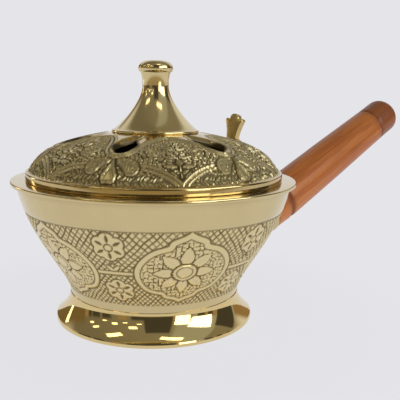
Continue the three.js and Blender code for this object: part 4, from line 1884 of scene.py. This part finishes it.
@dataclass
class Studio:
    """A pale sweep behind the object, a dimmer room before it, and soft lamps."""

    pale: Colour = (0.783, 0.783, 0.815)
    room: Colour = (0.265, 0.245, 0.195)
    shade: Colour = (0.07, 0.065, 0.055)
    cool: Colour = (0.5, 0.54, 0.52)
    wood: Colour = (0.38, 0.27, 0.14)
    patches: tuple[Patch, ...] = (
        Patch(-14.0, 23.0, (0.77, 0.82), shade), Patch(88.0, 118.0, (0.55, 0.58), shade),
        Patch(-156.0, -100.0, (0.3, 0.55), (0.2, 0.145, 0.065)),
        Patch(121.0, 152.0, (0.2, 0.35), (0.33, 0.22, 0.1)),
    )
    # Painted shade that the floor turns to on the room's side.
    far_floor_shade: Colour = (0.44, 0.36, 0.22)
    fall_off: Point = (0.13, 0.28)
    floor_radius: float = 6.0
    aim_height: float = 0.02
    windows: tuple[tuple[str, Lamp], ...] = (
        ("window_left_part", Lamp(36.0, 9.0, 0.34, 0.8, 2.8, (0.97, 1.0, 1.0))),
        ("window_right_part", Lamp(63.0, 24.0, 0.52, 0.5, 3.0, (0.97, 1.0, 1.0))),
    )
    ceiling: tuple[Lamp, ...] = (
        Lamp(-87.0, 25.6, 0.08, 0.05), Lamp(-83.0, 33.8, 0.13, 0.05), Lamp(-66.8, 21.0, 0.09, 0.04),
        Lamp(-53.4, 27.6, 0.12, 0.08), Lamp(-63.0, 50.6, 0.27, 0.1), Lamp(-38.4, 24.5, 0.09, 0.035),
        Lamp(-29.7, 37.6, 0.16, 0.1), Lamp(-20.0, 27.8, 0.09, 0.035), Lamp(31.0, 62.7, 0.34, 0.1),
        Lamp(-127.0, 6.0, 0.07, 0.5),
    )

    def build(self, axis: Axis, bearing: float) -> None:
        """Makes floor, world and lamps.

        Args:
            axis: The bowl's axis.
            bearing: The camera's bearing in degrees.
        """
        bpy.context.scene.view_settings.view_transform = "Standard"
        self.world(bearing)
        self.floor(axis, bearing)
        centre = Vector((axis.x * MM, 0.0, self.aim_height))
        warm = ((f"warm_lamp_{i}", lamp) for i, lamp in enumerate(self.ceiling, 1))
        for name, lamp in (*self.windows, *warm):
            lamp.build(name, centre, bearing)

    @staticmethod
    def bearings(graph: Graph, where: Term, bearing: float) -> tuple[Term, Term]:
        """How places lie as seen along the camera's bearing.

        Args:
            graph: The node tree.
            where: The places.
            bearing: The camera's bearing in degrees.

        Returns:
            How far a place lies towards the camera, and its bearing from it in radians.
        """
        before, beside = (
            graph.vector_number("DOT_PRODUCT", where, (math.cos(a), math.sin(a), 0.0))
            for a in (math.radians(bearing), math.radians(bearing + 90.0))
        )
        return before, graph.maths("ARCTAN2", beside, before)

    def blocks(self, graph: Graph, around: Term, inside: Term) -> Term:
        """Upright light and dark shapes along the room's walls.

        Args:
            graph: The world's node tree.
            around: Bearings in radians.
            inside: The room's colour.

        Returns:
            The new colour.
        """
        flat = graph.node("ShaderNodeCombineXYZ", {}, {"X": around, "Y": 0.3})
        tall = graph.noise(flat, 3.1, 1.0, 0.6)
        warm = graph.noise(flat, 4.3, 0.0, 0.5)
        colour = graph.mix(warm.ramp(0.5, 0.56), inside, self.wood)
        return graph.mix(tall.ramp(0.5, 0.54), colour, self.shade)

    def world(self, bearing: float) -> None:
        """Pale behind the object and low down, and a dim room elsewhere.

        Args:
            bearing: The camera's bearing in degrees.
        """
        world = bpy.data.worlds.new("studio")
        world.use_nodes = True
        bpy.context.scene.world = world
        graph = Graph(world.node_tree)
        where = graph.node("ShaderNodeTexCoord", {}, {}, "Generated")
        height = graph.node("ShaderNodeSeparateXYZ", {}, {"Vector": where}, "Z")
        before, around = self.bearings(graph, where, bearing)
        left = 1.0 - around.ramp(-1.9, -0.3)
        right = around.ramp(0.4, 0.6) * (1.0 - around.ramp(1.5, 1.6))
        inside = graph.mix(left * 0.3, self.room, self.shade)
        inside = graph.mix(right * 0.6, inside, self.cool)
        inside = graph.mix(1.0 - height.ramp(0.18, 0.36), inside, self.blocks(graph, around, inside))
        behind = 1.0 - before.ramp(-0.62, -0.36)
        colour = graph.mix(behind * (1.0 - height.ramp(0.55, 0.9)), inside, self.pale)
        for patch in self.patches:
            colour = patch.lay(graph, colour, around, height)
        shader = graph.node("ShaderNodeBackground", {}, {"Color": colour, "Strength": 1.0})
        graph.end(shader, "ShaderNodeOutputWorld")

    def floor(self, axis: Axis, bearing: float) -> None:
        """A plain pale floor that shines by itself, with painted shade that darkens it towards the
        room.

        Args:
            axis: The bowl's axis.
            bearing: The camera's bearing in degrees.
        """
        bm = bmesh.new()
        bmesh.ops.create_circle(bm, cap_ends=True, radius=self.floor_radius, segments=96)
        floor = finished("floor", bm)
        floor.location.x = axis.x * MM
        material, graph = Graph.of_material("pale_floor")
        where = graph.place()
        before = self.bearings(graph, where, bearing)[0]
        # Painted shade: the floor darkens from pale towards the room, on the camera's side.
        colour = graph.mix(before.ramp(*self.fall_off), self.pale, self.far_floor_shade)
        near = graph.node("ShaderNodeBsdfDiffuse", {}, {"Color": self.pale})
        away = graph.node("ShaderNodeEmission", {}, {"Color": colour, "Strength": 1.0})
        share = graph.vector_number("LENGTH", where).ramp(0.05, 0.12) * 0.05 + 0.95
        graph.end(graph.node("ShaderNodeMixShader", {}, {0: share, 1: near, 2: away}))
        floor.data.materials.append(material)


def main() -> None:
    """Builds the censer and its stage."""
    logging.basicConfig(level=logging.INFO, format="%(name)s: %(message)s")
    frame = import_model()
    axis = Axis.of_frame()
    camera = Camera()
    camera.build(axis)
    Studio().build(axis, camera.bearing)
    shop = Workshop()
    foot = Foot()
    bowl = Bowl(foot_height=foot.height)
    lid = Lid(stands_at=bowl.height)
    finial = Finial(stands_at=lid.stands_at + lid.seat_height)
    for piece in (foot, bowl, lid, finial):
        piece.build(shop, axis.place(piece.stands_at))
    for piece in (Ferrule(), Grip()):
        piece.build(shop, piece.place(axis, bowl))
    Fittings().build(shop, frame["nodes"])


if __name__ == "__main__":
    main()
